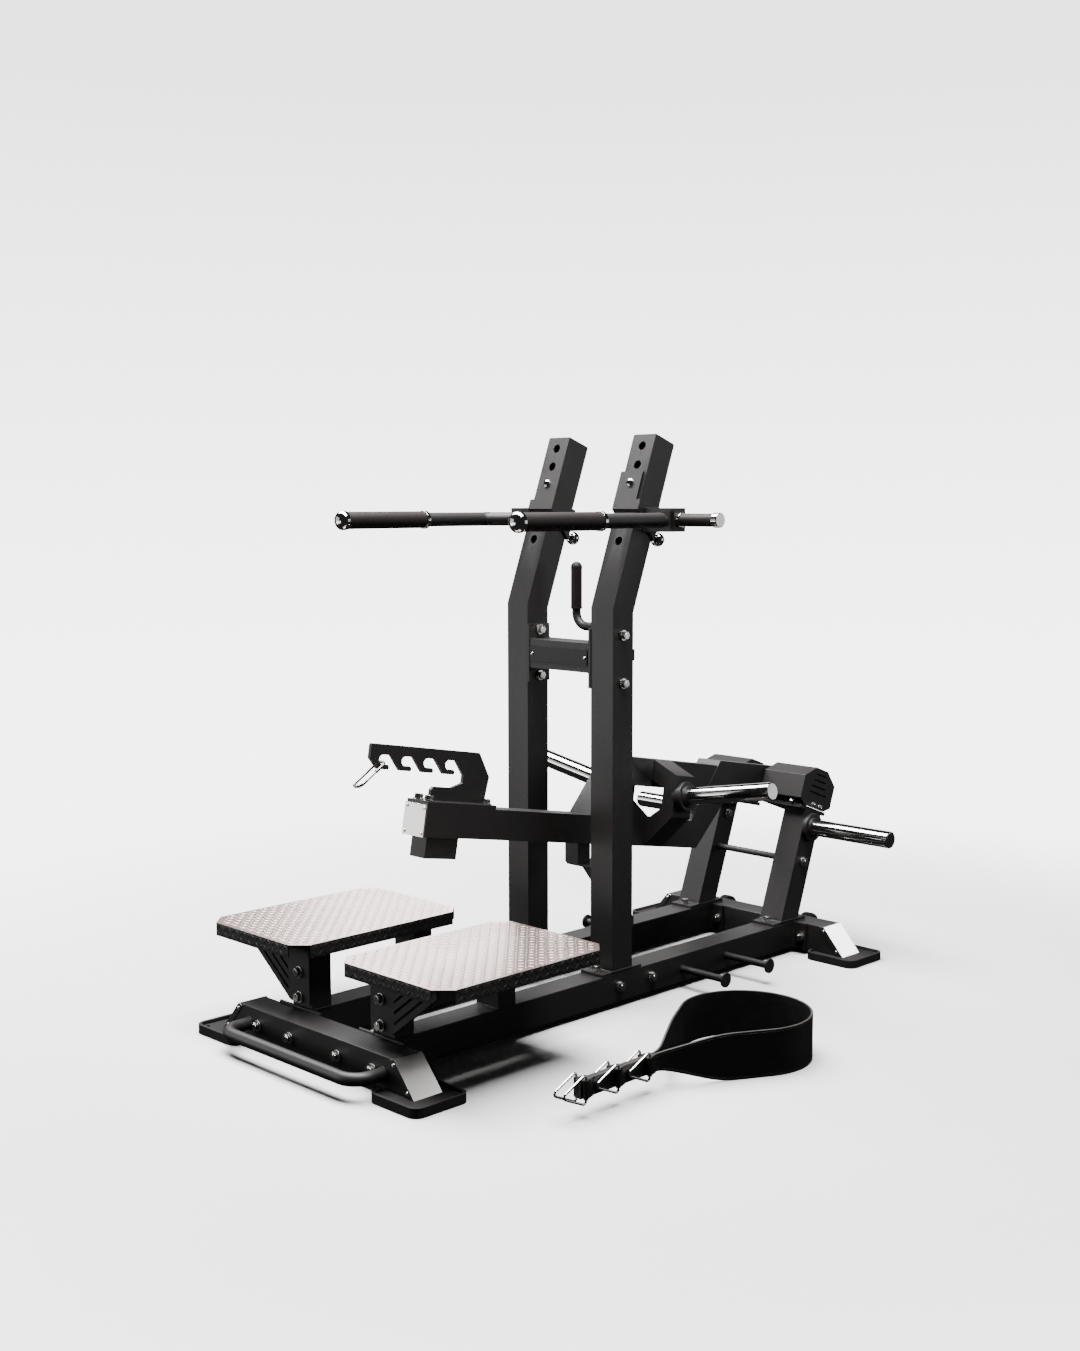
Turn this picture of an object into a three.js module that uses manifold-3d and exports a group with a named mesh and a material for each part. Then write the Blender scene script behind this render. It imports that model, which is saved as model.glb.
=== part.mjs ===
// A lever-arm belt squat machine with its belt.
// Millimetres. X runs across the machine, positive to the right of a user who faces it.
// Y runs from the front of the base to the rear, and Z is up from the floor.

import * as THREE from 'three';
import { mergeVertices } from 'three/addons/utils/BufferGeometryUtils.js';
import Module from 'manifold-3d';

const wasm = await Module();
wasm.setup();

// Shared stock
const tube = 79;
const wall = 4;
const plate = 8;
const sheet = 3;
const seat = 0.3;
const overrun = 20;
const railCentre = 160;
const barSide = 50;

// Base
const padHeight = 16;
const padRim = 8;
const padRimWidth = 8;
const padReach = 436;
const padWidth = 170;
const padDepth = 166;
const padCorner = 26;
const padHole = 12;
const padHoleInset = 24;
const frontBeamInset = 50;
const rearPadFront = 1665;
const rearBeamFront = 1708;
const beamReach = 372;
const endRun = 69;
const flangeReach = 84;
const flangeRise = 4;
const flangeBoltReach = 66;
const coverLip = 15;
const carryReach = 263;
const carryOut = 84;
const carryBend = 50;
const carryDiameter = 32;
const wheelDiameter = 76;
const wheelWidth = 32;
const wheelBehind = 41;
const wheelDrop = 40;
const axleDiameter = 12;
const pegDiameter = 19;
const pegLength = 157;
const pegDisc = 41;
const pegDiscThick = 5;
const railPegs = [1184, 1379];
const railBolts = [922, 1052];
const pegDrop = 41;
const railBoltDrop = 35;

// Uprights
const uprightFront = 893;
const bendHeight = 1077;
const lean = THREE.MathUtils.degToRad(20);
const slopeLength = 487;
const lowestHole = 187;
const holePitch = 53.6;
const holeCount = 6;
const holeDiameter = 25;
const basePlateLength = 156;
const basePlateBoltInset = 19;
const crossbarTop = 981;
const crossbarFlange = 160;
const crossbarFlangeLip = 2.5;
const crossbarBoltSpread = 64;
const namePlateReach = 108;
const namePlateHeight = 43;

// Handle carriages on the uprights
const runningGap = 0.8;
const sleeveWall = 6;
const sleeveFrontFoot = 274;
const sleeveFoot = 216;
const sleeveTop = 302;
const tabTop = 380;
const studPlace = 348;
const studDiameter = 20;
const studHeight = 4;
const pinHole = 1;
const pinPlace = lowestHole + pinHole * holePitch;
const armSide = 62;
const armReach = 138;
const armInset = 53.5;
const armPlace = 265.3;
const handleReach = 331;
const handleDiameter = 38;
const handleTip = 404;
const gripFront = 429;
const gripRear = 697;
const ringWidth = 10;
const kneeSetback = 22;
const gripDiameter = 46;
const capDiameter = 50;
const sideRodDiameter = 24;
const sideBoss = 8;
const sideBossSide = 44;
const sideGripDiameter = 34;
const sideCapDiameter = 38;
const sideGripLength = 107;
const sideCapLength = 18;
const domeShares = [0.6, 0.9];
const domeRises = [0.1, 0.3, 0.6];
const pinDiameter = 19;
const pinBarrel = 30;
const pinBarrelLength = 30;
const pinKnob = 38;
const pinKnobOut = 67;
const pinClear = 0.8;
const pinPoint = 3;
const knobShares = [0.5, 0.87];
const knobRises = [0.14, 0.5, 1, 1.5, 1.87];

// Rear posts, bearings and guards
const postFoot = 1638;
const pivotY = 1817;
const pivotHeight = 481;
const headHalfDepth = 81;
const headTop = 65;
const headShoulder = 30;
const headShoulderReach = 30;
const headKnee = 40;
const headFoot = 57;
const headFootReach = 50;
const headInner = 48;
const headPlate = 10;
const headPlateHalf = 64;
const shaftDiameter = 40;
const bearingWidth = 50;
const bearingOuter = 84;
const bearingBaseHalf = 62;
const louvreCount = 4;
const louvrePitch = 19;
const louvreThick = 4;
const louvreLength = 50;
const braceHeight = 273;
const braceDiameter = 19;
const hornDiameter = 50;
const collarDiameter = 86;
const collarThick = 14;
const storageHornReach = 485;
const storageHornHeight = 374;
const hornChamfer = 3;

// Platforms
const deckTop = 280;
const deckThick = 5;
const deckInner = 70;
const deckOuter = 461;
const deckFront = 61;
const deckRear = 607;
const deckChamfer = 41;
const skirtDepth = 34;
const frontPostY = 139;
const postDepth = 60;
const rearPostY = 474;
const supportArmReach = 403;
const supportArmHeight = 40;
const gussetReach = 361;
const gussetFoot = 108;
const gussetTipHeight = 229;
const gussetBolts = [124, 188];
const gussetSlotCount = 5;
const gussetSlotRise = 26;
const gussetSlotThick = 7;

// Lever, measured in its own frame: across, along (rearwards) and up from the pivot
const leverTilt = THREE.MathUtils.degToRad(10);
const noseAlong = -1430;
const armLow = -209;
const beamLow = -39;
const armEnd = -355;
const rearBraceShare = 0.745;
const frontBraceFoot = -831;
const frontBraceHead = -725;
const hubFront = -292;
const hubSeamLean = 40;
const hubRear = 48;
const hubHalf = 55;
const hubSkin = 3;
const gussetAlong = 160;
const gussetUp = 72;
const noseStubInset = 20;
const noseStubLength = 108;
const noseStubWidth = 56;
const noseStubDepth = 55;
const restStubFront = 943;
const restStubWidth = 49;
const restHeight = 362;
const endPlateHalf = 41;
const endPlateThick = 5;
const bracketFront = -592;
const bracketDepth = 79;
const bracketReach = 131;
const bracketTop = 4;
const bracketFoot = -114;
const bracketStrip = 43;
const weightHornUp = -1;
const weightHornHub = -55;
const weightHornReach = 438;
const weightCollarThick = 20;

// Hook plate on the nose of the lever
const hookThick = 10;
const hookBase = 10;
const hookBaseRear = -1192;
const hookTop = 11.6;
const hookFront = -1605;
const hookFrontCorner = -25;
const hookRearTop = -1241;
const hookRearMid = -1197.5;
const hookRearMidHeight = -49;
const hookRearFoot = -1206;
const hookFootFront = -1394;
const hookThroat = -1289;
const hookThroatFloor = -84;
const hookThroatRise = 14;
const toothTip = -1541.5;
const toothPitch = 73.1;
const toothCount = 4;
const toothFoot = -50;
const pocketFloor = -38;
const pocketTop = -14;
const pocketLength = 34;
const slotSlant = 36;
const hookBolt = 19;

// Carabiner on the first hook
const clipLength = 97;
const clipHalfWidth = 14.5;
const clipWire = 8;
const clipGateWire = 6;
const clipGateLength = 36;
const clipDroop = THREE.MathUtils.degToRad(32);
const clipRest = 2;
const clipClear = 1.7;

// Release handle and catch behind the right upright
const rodX = 135;
const rodY = 1006;
const rodDiameter = 24;
const rodFoot = 188;
const rodBend = 38;
const rodTop = 1015;
const releaseGripX = -42;
const releaseGripFoot = 1062;
const releaseGripTop = 1192;
const releaseGripDiameter = 32;
const bracketHeight = 30;
const lowBracketFoot = 196;
const highBracketFoot = 930;
const catchReach = 30;
const catchFront = 955;
const catchRear = 1030;
const catchFoot = lowBracketFoot + bracketHeight + seat;
const catchHub = 42;

// Belt on the floor beside the machine
const beltX = 676;
const beltCentreY = 862;
const beltRadius = 160;
const beltJoinY = 545;
const beltEndY = 265;
const beltHeight = 115;
const beltTailFoot = 44;
const beltTailHeight = 42.5;
const beltTailLayer = 2.4;
const beltThick = 6;
const beltGap = 0.6;
const beltTaperStart = 520;
const beltTaperEnd = 690;
const ringPitch = 106;
const firstRing = 276;
const ringCount = 3;
const ringHeight = 71;
const ringReach = 79;
const ringWire = 6;
const ringBend = 7;
const tabThick = 12;
const tabHeight = 44;
const tabNose = 7;
const tabTail = 28;

// Bolts
const boltAcross = 18;
const boltHead = 10;
const washerDiameter = 26;
const washerThick = 3;
const smallScrew = 9;
const smallScrewHead = 3;
const boltSink = 1;

// Places worked out from the sizes above
const railInner = railCentre - tube / 2;
const railOuter = railCentre + tube / 2;
const beamTop = padHeight + tube;
const frontBeamRear = frontBeamInset + tube;
const rearBeamRear = rearBeamFront + tube;
const footTop = beamTop + plate;
const armHigh = armLow + tube;
const beamHigh = beamLow + tube;
const halfTube = tube / 2;
const sideGripStart = railCentre + armReach + sideBoss + ringWidth;
const sides = [['left', -1], ['right', 1]];
const crossbarMiddle = crossbarTop - tube / 2;

// Geometry helpers

function block(x0, x1, y0, y1, z0, z1) {
  const geometry = new THREE.BoxGeometry(x1 - x0, y1 - y0, z1 - z0);
  return geometry.translate((x0 + x1) / 2, (y0 + y1) / 2, (z0 + z1) / 2);
}

function outline(points) {
  return new THREE.Shape(points.map(([a, b]) => new THREE.Vector2(a, b)));
}

function extrude(shape, depth, curveSegments = 6) {
  return new THREE.ExtrudeGeometry(shape, { depth, bevelEnabled: false, curveSegments });
}

// A slab whose outline lies in the XY plane
function slabXY(shape, z0, z1, curveSegments) {
  return extrude(shape, z1 - z0, curveSegments).translate(0, 0, z0);
}

// A slab whose outline is given across and up, running from y0 to y1
function slabXZ(shape, y0, y1, curveSegments) {
  const turn = new THREE.Matrix4().makeBasis(
    new THREE.Vector3(1, 0, 0), new THREE.Vector3(0, 0, 1), new THREE.Vector3(0, -1, 0));
  return extrude(shape, y1 - y0, curveSegments).applyMatrix4(turn).translate(0, y1, 0);
}

// A slab whose outline is given along and up, running from x0 to x1
function slabYZ(shape, x0, x1, curveSegments) {
  const turn = new THREE.Matrix4().makeBasis(
    new THREE.Vector3(0, 1, 0), new THREE.Vector3(0, 0, 1), new THREE.Vector3(1, 0, 0));
  return extrude(shape, x1 - x0, curveSegments).applyMatrix4(turn).translate(x0, 0, 0);
}

// The frame that carries a shape made along +Z so that it points along a direction
function aim(direction) {
  const [x, y, z] = direction;
  const forward = new THREE.Vector3(x, y, z).normalize();
  const side = Math.abs(forward.x) > 0.9 ? new THREE.Vector3(0, 1, 0) : new THREE.Vector3(1, 0, 0);
  const across = side.clone().addScaledVector(forward, -side.dot(forward)).normalize();
  const up = new THREE.Vector3().crossVectors(forward, across);
  return new THREE.Matrix4().makeBasis(across, up, forward);
}

function place(geometry, at, direction = [0, 0, 1]) {
  return geometry.applyMatrix4(aim(direction)).translate(...at);
}

// A round bar from one point, of a length along a direction
function bar(diameter, length, at, direction, segments = 16) {
  const geometry = new THREE.CylinderGeometry(diameter / 2, diameter / 2, length, segments);
  geometry.rotateX(Math.PI / 2).translate(0, 0, length / 2);
  return place(geometry, at, direction);
}

// A turned piece: the profile holds [radius, height] pairs and starts and ends on the axis
function turned(profile, at, direction, segments = 16) {
  const points = profile.map(([radius, height]) => new THREE.Vector2(radius, height));
  const geometry = new THREE.LatheGeometry(points, segments);
  geometry.rotateX(Math.PI / 2);
  return place(geometry, at, direction);
}

function circle(radius, segments) {
  const points = [];
  for (let i = 0; i < segments; i += 1) {
    const angle = (2 * Math.PI * (i + 0.5)) / segments;
    points.push([radius * Math.cos(angle), radius * Math.sin(angle)]);
  }
  return outline(points);
}

// The radius of a faceted hole that clears a round of the given diameter
function clearRadius(diameter, segments) {
  return (diameter / 2 + seat) / Math.cos(Math.PI / segments);
}

// A round cutter for a hole that something turns or slides in, longer than what it cuts
function hole(diameter, length, at, direction, segments = 16) {
  const [x, y, z] = direction;
  const back = new THREE.Vector3(x, y, z).normalize().multiplyScalar(-overrun);
  const start = [at[0] + back.x, at[1] + back.y, at[2] + back.z];
  return bar(2 * clearRadius(diameter, segments), length + 2 * overrun, start, direction, segments);
}

// A path through given points, stepped from point to point
class PointPath extends THREE.Curve {
  constructor(points) {
    super();
    this.points = points;
  }

  getPointAt(share) {
    return this.points[Math.round(share * (this.points.length - 1))].clone();
  }

  getTangentAt(share) {
    const last = this.points.length - 1;
    const index = Math.round(share * last);
    const before = this.points[Math.max(index - 1, 0)];
    const after = this.points[Math.min(index + 1, last)];
    return after.clone().sub(before).normalize();
  }
}

// Straight runs with a round bend of the given radius at each inner point
function bentPath(points, radius, bendSteps = 5) {
  const corners = points.map((point) => new THREE.Vector3(...point));
  const path = [corners[0]];
  for (let i = 1; i < corners.length - 1; i += 1) {
    const back = corners[i - 1].clone().sub(corners[i]).normalize();
    const ahead = corners[i + 1].clone().sub(corners[i]).normalize();
    const half = Math.acos(back.dot(ahead)) / 2;
    const centre = back.clone().add(ahead).normalize().multiplyScalar(radius / Math.sin(half));
    const arm = back.clone().multiplyScalar(radius / Math.tan(half)).sub(centre);
    const turn = new THREE.Vector3().crossVectors(back, ahead).normalize();
    for (let step = 0; step <= bendSteps; step += 1) {
      const angle = (2 * half - Math.PI) * (step / bendSteps);
      path.push(arm.clone().applyAxisAngle(turn, angle).add(centre).add(corners[i]));
    }
  }
  path.push(corners[corners.length - 1]);
  return new PointPath(path);
}

// A bar that follows a path
function bentBar(path, diameter, segments = 10) {
  const shape = circle(diameter / 2, segments);
  const steps = path.points.length - 1;
  return new THREE.ExtrudeGeometry(shape, { extrudePath: path, steps, bevelEnabled: false });
}

function toSolid(geometry) {
  const bare = geometry.clone();
  bare.deleteAttribute('normal');
  bare.deleteAttribute('uv');
  const merged = mergeVertices(bare);
  return new wasm.Manifold(new wasm.Mesh({
    numProp: 3,
    vertProperties: new Float32Array(merged.attributes.position.array),
    triVerts: new Uint32Array(merged.index.array),
  }));
}

function toGeometry(solid) {
  const mesh = solid.getMesh();
  const indexed = new THREE.BufferGeometry();
  indexed.setAttribute('position', new THREE.BufferAttribute(new Float32Array(mesh.vertProperties), 3));
  indexed.setIndex(Array.from(mesh.triVerts));
  const geometry = indexed.toNonIndexed();
  geometry.computeVertexNormals();
  return geometry;
}

function joined(...pieces) {
  return toGeometry(pieces.map(toSolid).reduce((sum, piece) => sum.add(piece)));
}

function cut(body, ...tools) {
  return toGeometry(tools.map(toSolid).reduce((sum, tool) => sum.subtract(tool), toSolid(body)));
}

function common(body, other) {
  return toGeometry(toSolid(body).intersect(toSolid(other)));
}

function mirrored(geometry) {
  const copy = geometry.clone().applyMatrix4(new THREE.Matrix4().makeScale(-1, 1, 1));
  const flat = copy.index ? copy.toNonIndexed() : copy;
  const position = flat.attributes.position;
  for (let i = 0; i < position.count; i += 3) {
    const [x, y, z] = [position.getX(i), position.getY(i), position.getZ(i)];
    position.setXYZ(i, position.getX(i + 1), position.getY(i + 1), position.getZ(i + 1));
    position.setXYZ(i + 1, x, y, z);
  }
  flat.computeVertexNormals();
  return flat;
}

// Right-hand pieces are drawn, and their left-hand twins are mirrored from them
function handed(geometry, side) {
  return side < 0 ? mirrored(geometry) : geometry;
}

// A hexagon bolt head on its washer, seated on the piece that it fastens
function bolt(at, direction) {
  const profile = [
    [0, -boltSink], [washerDiameter / 2, -boltSink], [washerDiameter / 2, washerThick],
    [boltAcross / 2, washerThick], [boltAcross / 2, washerThick + boltHead], [0, washerThick + boltHead],
  ];
  return turned(profile, at, direction, 6);
}

function screw(at, direction) {
  const profile = [
    [0, -boltSink], [smallScrew / 2, -boltSink], [smallScrew / 2, smallScrewHead], [0, smallScrewHead]];
  return turned(profile, at, direction, 6);
}

// Finishes
const blackPaint = { color: 0x1c1b1b, roughness: 0.55, metalness: 0.3 };
const chrome = { color: 0xe8e8ea, roughness: 0.12, metalness: 1 };
const satinSteel = { color: 0xc9c9c7, roughness: 0.35, metalness: 1 };
const zinc = { color: 0xd6d6d4, roughness: 0.25, metalness: 1 };
const rubber = { color: 0x151413, roughness: 0.85, metalness: 0 };
const gripFoam = { color: 0x171413, roughness: 0.75, metalness: 0 };
const deckGrit = { color: 0xcbbdb8, roughness: 0.8, metalness: 0.1 };
const leather = { color: 0x121111, roughness: 0.6, metalness: 0 };

function node(parent, name, finish, geometry) {
  const mesh = new THREE.Mesh(geometry, new THREE.MeshStandardMaterial(finish));
  mesh.name = name;
  parent.add(mesh);
  return mesh;
}

const machine = new THREE.Group();

// Foot pads: a rounded plate with a raised rim that lets the crossmember through
function footPad(side, padFront, beamFront) {
  const inner = padReach - padWidth;
  const padRear = padFront + padDepth;
  const rounded = (inset) => {
    const shape = new THREE.Shape();
    const x0 = inner + inset;
    const x1 = padReach - inset;
    const y0 = padFront + inset;
    const y1 = padRear - inset;
    const r = padCorner - inset;
    shape.moveTo(x0 + r, y0);
    shape.lineTo(x1 - r, y0);
    shape.absarc(x1 - r, y0 + r, r, -Math.PI / 2, 0);
    shape.absarc(x1 - r, y1 - r, r, 0, Math.PI / 2);
    shape.absarc(x0 + r, y1 - r, r, Math.PI / 2, Math.PI);
    shape.absarc(x0 + r, y0 + r, r, Math.PI, 1.5 * Math.PI);
    return shape;
  };
  const body = slabXY(rounded(0), 0, padHeight + padRim, 4);
  const dish = slabXY(rounded(padRimWidth), padHeight, padHeight + padRim + overrun, 4);
  const way = block(inner - overrun, beamReach + plate, beamFront - plate, beamFront + tube + plate,
    padHeight, padHeight + padRim + overrun);
  const holes = [padFront + padHoleInset, padRear - padHoleInset].map((y) =>
    bar(padHole, padHeight + 2 * overrun, [padReach - padHoleInset, y, -overrun], [0, 0, 1], 10));
  return handed(cut(body, dish, way, ...holes), side);
}

for (const [name, side] of sides) {
  node(machine, `front_${name}_foot_pad`, rubber, footPad(side, 0, frontBeamInset));
  node(machine, `rear_${name}_foot_pad`, rubber, footPad(side, rearPadFront, rearBeamFront));
}

// Crossmembers: square tube with both ends cut on the slant
function crossmember(front) {
  const ends = outline([
    [-beamReach, padHeight], [beamReach, padHeight], [beamReach - endRun, beamTop],
    [endRun - beamReach, beamTop]]);
  const hollow = block(-beamReach - overrun, beamReach + overrun, front + wall, front + tube - wall,
    padHeight + wall, beamTop - wall);
  return cut(slabXZ(ends, front, front + tube), hollow);
}

const flangeBoltHeight = padHeight + tube / 2 - wall / 2;
const frontBolts = [-1, 1].flatMap((side) => [-1, 1].map((offset) =>
  bolt([side * (railCentre + offset * flangeBoltReach), frontBeamInset, flangeBoltHeight], [0, -1, 0])));
node(machine, 'front_crossmember', blackPaint, joined(crossmember(frontBeamInset), ...frontBolts));

// Bent sheet covers over the four sloping ends, with a folded lip front and rear
function endCover(front) {
  const slope = (offset) => [
    [beamReach + offset, padHeight], [beamReach - endRun + offset, beamTop]];
  const skin = sheet * Math.hypot(1, endRun / tube);
  const [lowIn, highIn] = slope(0);
  const [lowOut, highOut] = slope(skin);
  const face = outline([lowIn, lowOut, highOut, highIn]);
  const lipFoot = [lowIn[0] - coverLip, padHeight];
  const lipHead = [highIn[0] - coverLip + sheet, beamTop - sheet];
  const lip = outline([lipFoot, lowOut, highOut, lipHead]);
  return joined(
    slabXZ(face, front - sheet, front + tube + sheet),
    slabXZ(lip, front - sheet, front),
    slabXZ(lip, front + tube, front + tube + sheet));
}

for (const [name, side] of sides) {
  node(machine, `front_${name}_end_cover`, satinSteel, handed(endCover(frontBeamInset), side));
  node(machine, `rear_${name}_end_cover`, satinSteel, handed(endCover(rearBeamFront), side));
}

// Storage pegs on the outer faces of the rails
function peg(y) {
  const profile = [
    [0, -boltSink], [pegDiameter / 2, -boltSink], [pegDiameter / 2, pegLength - pegDiscThick],
    [pegDisc / 2, pegLength - pegDiscThick], [pegDisc / 2, pegLength], [0, pegLength]];
  return turned(profile, [railOuter, y, beamTop - pegDrop], [1, 0, 0], 12);
}

// Rails between the crossmembers, with a bolted flange at each end
function rail(side) {
  const start = frontBeamRear;
  const end = rearBeamFront;
  const flange = (y, top) => block(railCentre - flangeReach, railCentre + flangeReach, y, y + plate,
    padHeight - flangeRise, top);
  const body = joined(
    block(railInner, railOuter, start + plate, end - plate, padHeight, beamTop),
    flange(start, beamTop + flangeRise), flange(end - plate, beamTop));
  const hollow = block(railInner + wall, railOuter - wall, start - overrun, end + overrun,
    padHeight + wall, beamTop - wall);
  const heads = [-1, 1].map((offset) =>
    bolt([railCentre + offset * flangeBoltReach, end - plate, flangeBoltHeight], [0, -1, 0]));
  for (const y of railBolts) {
    heads.push(bolt([railOuter, y, beamTop - railBoltDrop], [1, 0, 0]));
    heads.push(bolt([railInner, y, beamTop - railBoltDrop], [-1, 0, 0]));
  }
  return handed(joined(cut(body, hollow), ...heads, ...railPegs.map(peg)), side);
}

for (const [name, side] of sides) {
  node(machine, `${name}_rail`, blackPaint, rail(side));
}

// Carry handle across the front
const carryPath = bentPath([
  [-carryReach, frontBeamInset, padHeight + tube / 2 - wall],
  [-carryReach, frontBeamInset - carryOut, padHeight + tube / 2 - wall],
  [carryReach, frontBeamInset - carryOut, padHeight + tube / 2 - wall],
  [carryReach, frontBeamInset, padHeight + tube / 2 - wall]], carryBend);
node(machine, 'carry_handle', blackPaint, bentBar(carryPath, carryDiameter, 14));

// Transport wheels behind the rear crossmember
const wheelY = rearBeamRear + wheelBehind;
const wheelZ = beamTop - wheelDrop;
const forkPlate = 5;
const forkHeight = 44;
const forkGap = 2;

function wheelFork() {
  const cheek = (x) => {
    const shape = outline([
      [rearBeamRear - boltSink, wheelZ - forkHeight / 2], [wheelY + axleDiameter, wheelZ - axleDiameter],
      [wheelY + axleDiameter, wheelZ + axleDiameter], [rearBeamRear - boltSink, wheelZ + forkHeight / 2]]);
    return slabYZ(shape, x, x + forkPlate);
  };
  const half = wheelWidth / 2 + forkGap;
  const axle = bar(axleDiameter, 2 * (half + forkPlate), [railCentre - half - forkPlate, wheelY, wheelZ],
    [1, 0, 0], 10);
  return joined(cheek(railCentre - half - forkPlate), cheek(railCentre + half), axle);
}

node(machine, 'rear_crossmember', blackPaint,
  joined(crossmember(rearBeamFront), wheelFork(), mirrored(wheelFork())));

function transportWheel(side) {
  const half = wheelWidth / 2;
  const bore = clearRadius(axleDiameter, 20);
  const rim = wheelDiameter / 2;
  const edge = 4;
  const profile = [
    [bore, -half], [rim - edge, -half], [rim, -half + edge], [rim, half - edge], [rim - edge, half],
    [bore, half], [bore, -half]];
  return turned(profile, [side * railCentre, wheelY, wheelZ], [1, 0, 0], 20);
}

for (const [name, side] of sides) {
  node(machine, `${name}_transport_wheel`, rubber, transportWheel(side));
}

// Blocks on the rear of the right upright that the release rod turns in
const uprightRear = uprightFront + tube;

function rodBlock(foot) {
  const body = block(rodX - catchHub / 2, rodX + catchHub / 2, uprightRear - boltSink, rodY + catchHub / 2,
    foot, foot + bracketHeight);
  const bore = hole(rodDiameter, bracketHeight, [rodX, rodY, foot], [0, 0, 1]);
  return cut(body, bore);
}

// Uprights: square tube with one mitred bend, a row of holes through front and rear, and a foot plate
const bendStep = Math.tan(lean / 2);

function slopePoint(depth, along) {
  return [
    uprightFront + depth * Math.cos(lean) + along * Math.sin(lean),
    bendHeight - depth * Math.sin(lean) + along * Math.cos(lean)];
}

function uprightOutline(inset, foot, top) {
  return outline([
    [uprightFront + inset, foot],
    [uprightFront + tube - inset, foot],
    [uprightFront + tube - inset, bendHeight - (tube - inset) * bendStep],
    slopePoint(tube - inset, top),
    slopePoint(inset, top),
    [uprightFront + inset, bendHeight - inset * bendStep]]);
}

const slopeRear = [0, Math.cos(lean), -Math.sin(lean)];
const uprightMiddle = uprightFront + tube / 2;

function upright(side) {
  const x = side * railCentre;
  const outer = slabYZ(uprightOutline(0, footTop - plate, slopeLength), x - halfTube, x + halfTube);
  const inner = slabYZ(uprightOutline(wall, beamTop - overrun, slopeLength - wall),
    x - halfTube + wall, x + halfTube - wall);
  const foot = block(x - halfTube, x + halfTube, uprightMiddle - basePlateLength / 2,
    uprightMiddle + basePlateLength / 2, beamTop, footTop);
  const holes = [];
  for (let i = 0; i < holeCount; i += 1) {
    const [y, z] = slopePoint(-overrun, lowestHole + i * holePitch);
    holes.push(bar(holeDiameter, tube + 2 * overrun, [x, y, z], slopeRear, 12));
  }
  const out = [side, 0, 0];
  const heads = [-1, 1].map((offset) =>
    bolt([x, uprightMiddle + offset * (basePlateLength / 2 - basePlateBoltInset), footTop], [0, 0, 1]));
  for (const offset of [-1, 1]) {
    heads.push(bolt([side * railOuter, uprightMiddle, crossbarMiddle + offset * crossbarBoltSpread], out));
  }
  const blocks = side > 0 ? [rodBlock(lowBracketFoot), rodBlock(highBracketFoot)] : [];
  return joined(cut(joined(outer, foot), inner, ...holes), ...heads, ...blocks);
}

for (const [name, side] of sides) {
  node(machine, `${name}_upright`, blackPaint, upright(side));
}

// Crossbar bolted between the uprights, and its bare plate

function crossbar() {
  const flange = (x) => block(x, x + plate, uprightFront - crossbarFlangeLip, uprightRear - boltSink - seat,
    crossbarMiddle - crossbarFlange / 2, crossbarMiddle + crossbarFlange / 2);
  const body = joined(
    block(-railInner + plate, railInner - plate, uprightFront, uprightFront + tube - seat,
      crossbarTop - tube, crossbarTop),
    flange(-railInner), flange(railInner - plate));
  const hollow = block(-railInner - overrun, railInner + overrun, uprightFront + wall,
    uprightFront + tube - wall, crossbarTop - tube + wall, crossbarTop - wall);
  const boltHeights = [-1, 1].map((offset) => crossbarMiddle + offset * crossbarBoltSpread);
  const heads = [-1, 1].flatMap((side) => boltHeights.map((height) =>
    bolt([side * (railInner - plate), uprightMiddle, height], [-side, 0, 0])));
  return joined(cut(body, hollow), ...heads);
}

node(machine, 'crossbar', blackPaint, crossbar());

const namePlate = block(-namePlateReach, namePlateReach, uprightFront - sheet, uprightFront,
  crossbarMiddle - namePlateHeight / 2, crossbarMiddle + namePlateHeight / 2);
const nameScrews = [-1, 1].map((side) =>
  screw([side * (namePlateReach - smallScrew), uprightFront - sheet, crossbarMiddle], [0, -1, 0]));
node(machine, 'blank_plate', blackPaint, joined(namePlate, ...nameScrews));

// Rear posts: square tube leaning back to the pivot, with a foot plate and a head plate
function headPoint(depth, up) {
  return [
    pivotY + depth * Math.cos(lean) + up * Math.sin(lean),
    pivotHeight - depth * Math.sin(lean) + up * Math.cos(lean)];
}

const postRise = pivotHeight - footTop;
const postFrontDepth = (postFoot - pivotY) * Math.cos(lean) + postRise * Math.sin(lean);
const postBottom = (depth) => (depth * Math.sin(lean) - postRise) / Math.cos(lean);
const postFootRear = postFoot + tube / Math.cos(lean);

const postMiddleY = (height) =>
  pivotY + (postFrontDepth + tube / 2) / Math.cos(lean) + (height - pivotHeight) * Math.tan(lean);
const braceY = postMiddleY(braceHeight);
const storageHornY = postMiddleY(storageHornHeight);

function postOutline(inset, footDrop) {
  const near = postFrontDepth + inset;
  const far = postFrontDepth + tube - inset;
  return outline([
    headPoint(near, postBottom(near) - footDrop), headPoint(far, postBottom(far) - footDrop),
    headPoint(far, -headFoot - headPlate), headPoint(near, -headFoot - headPlate)]);
}

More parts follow.
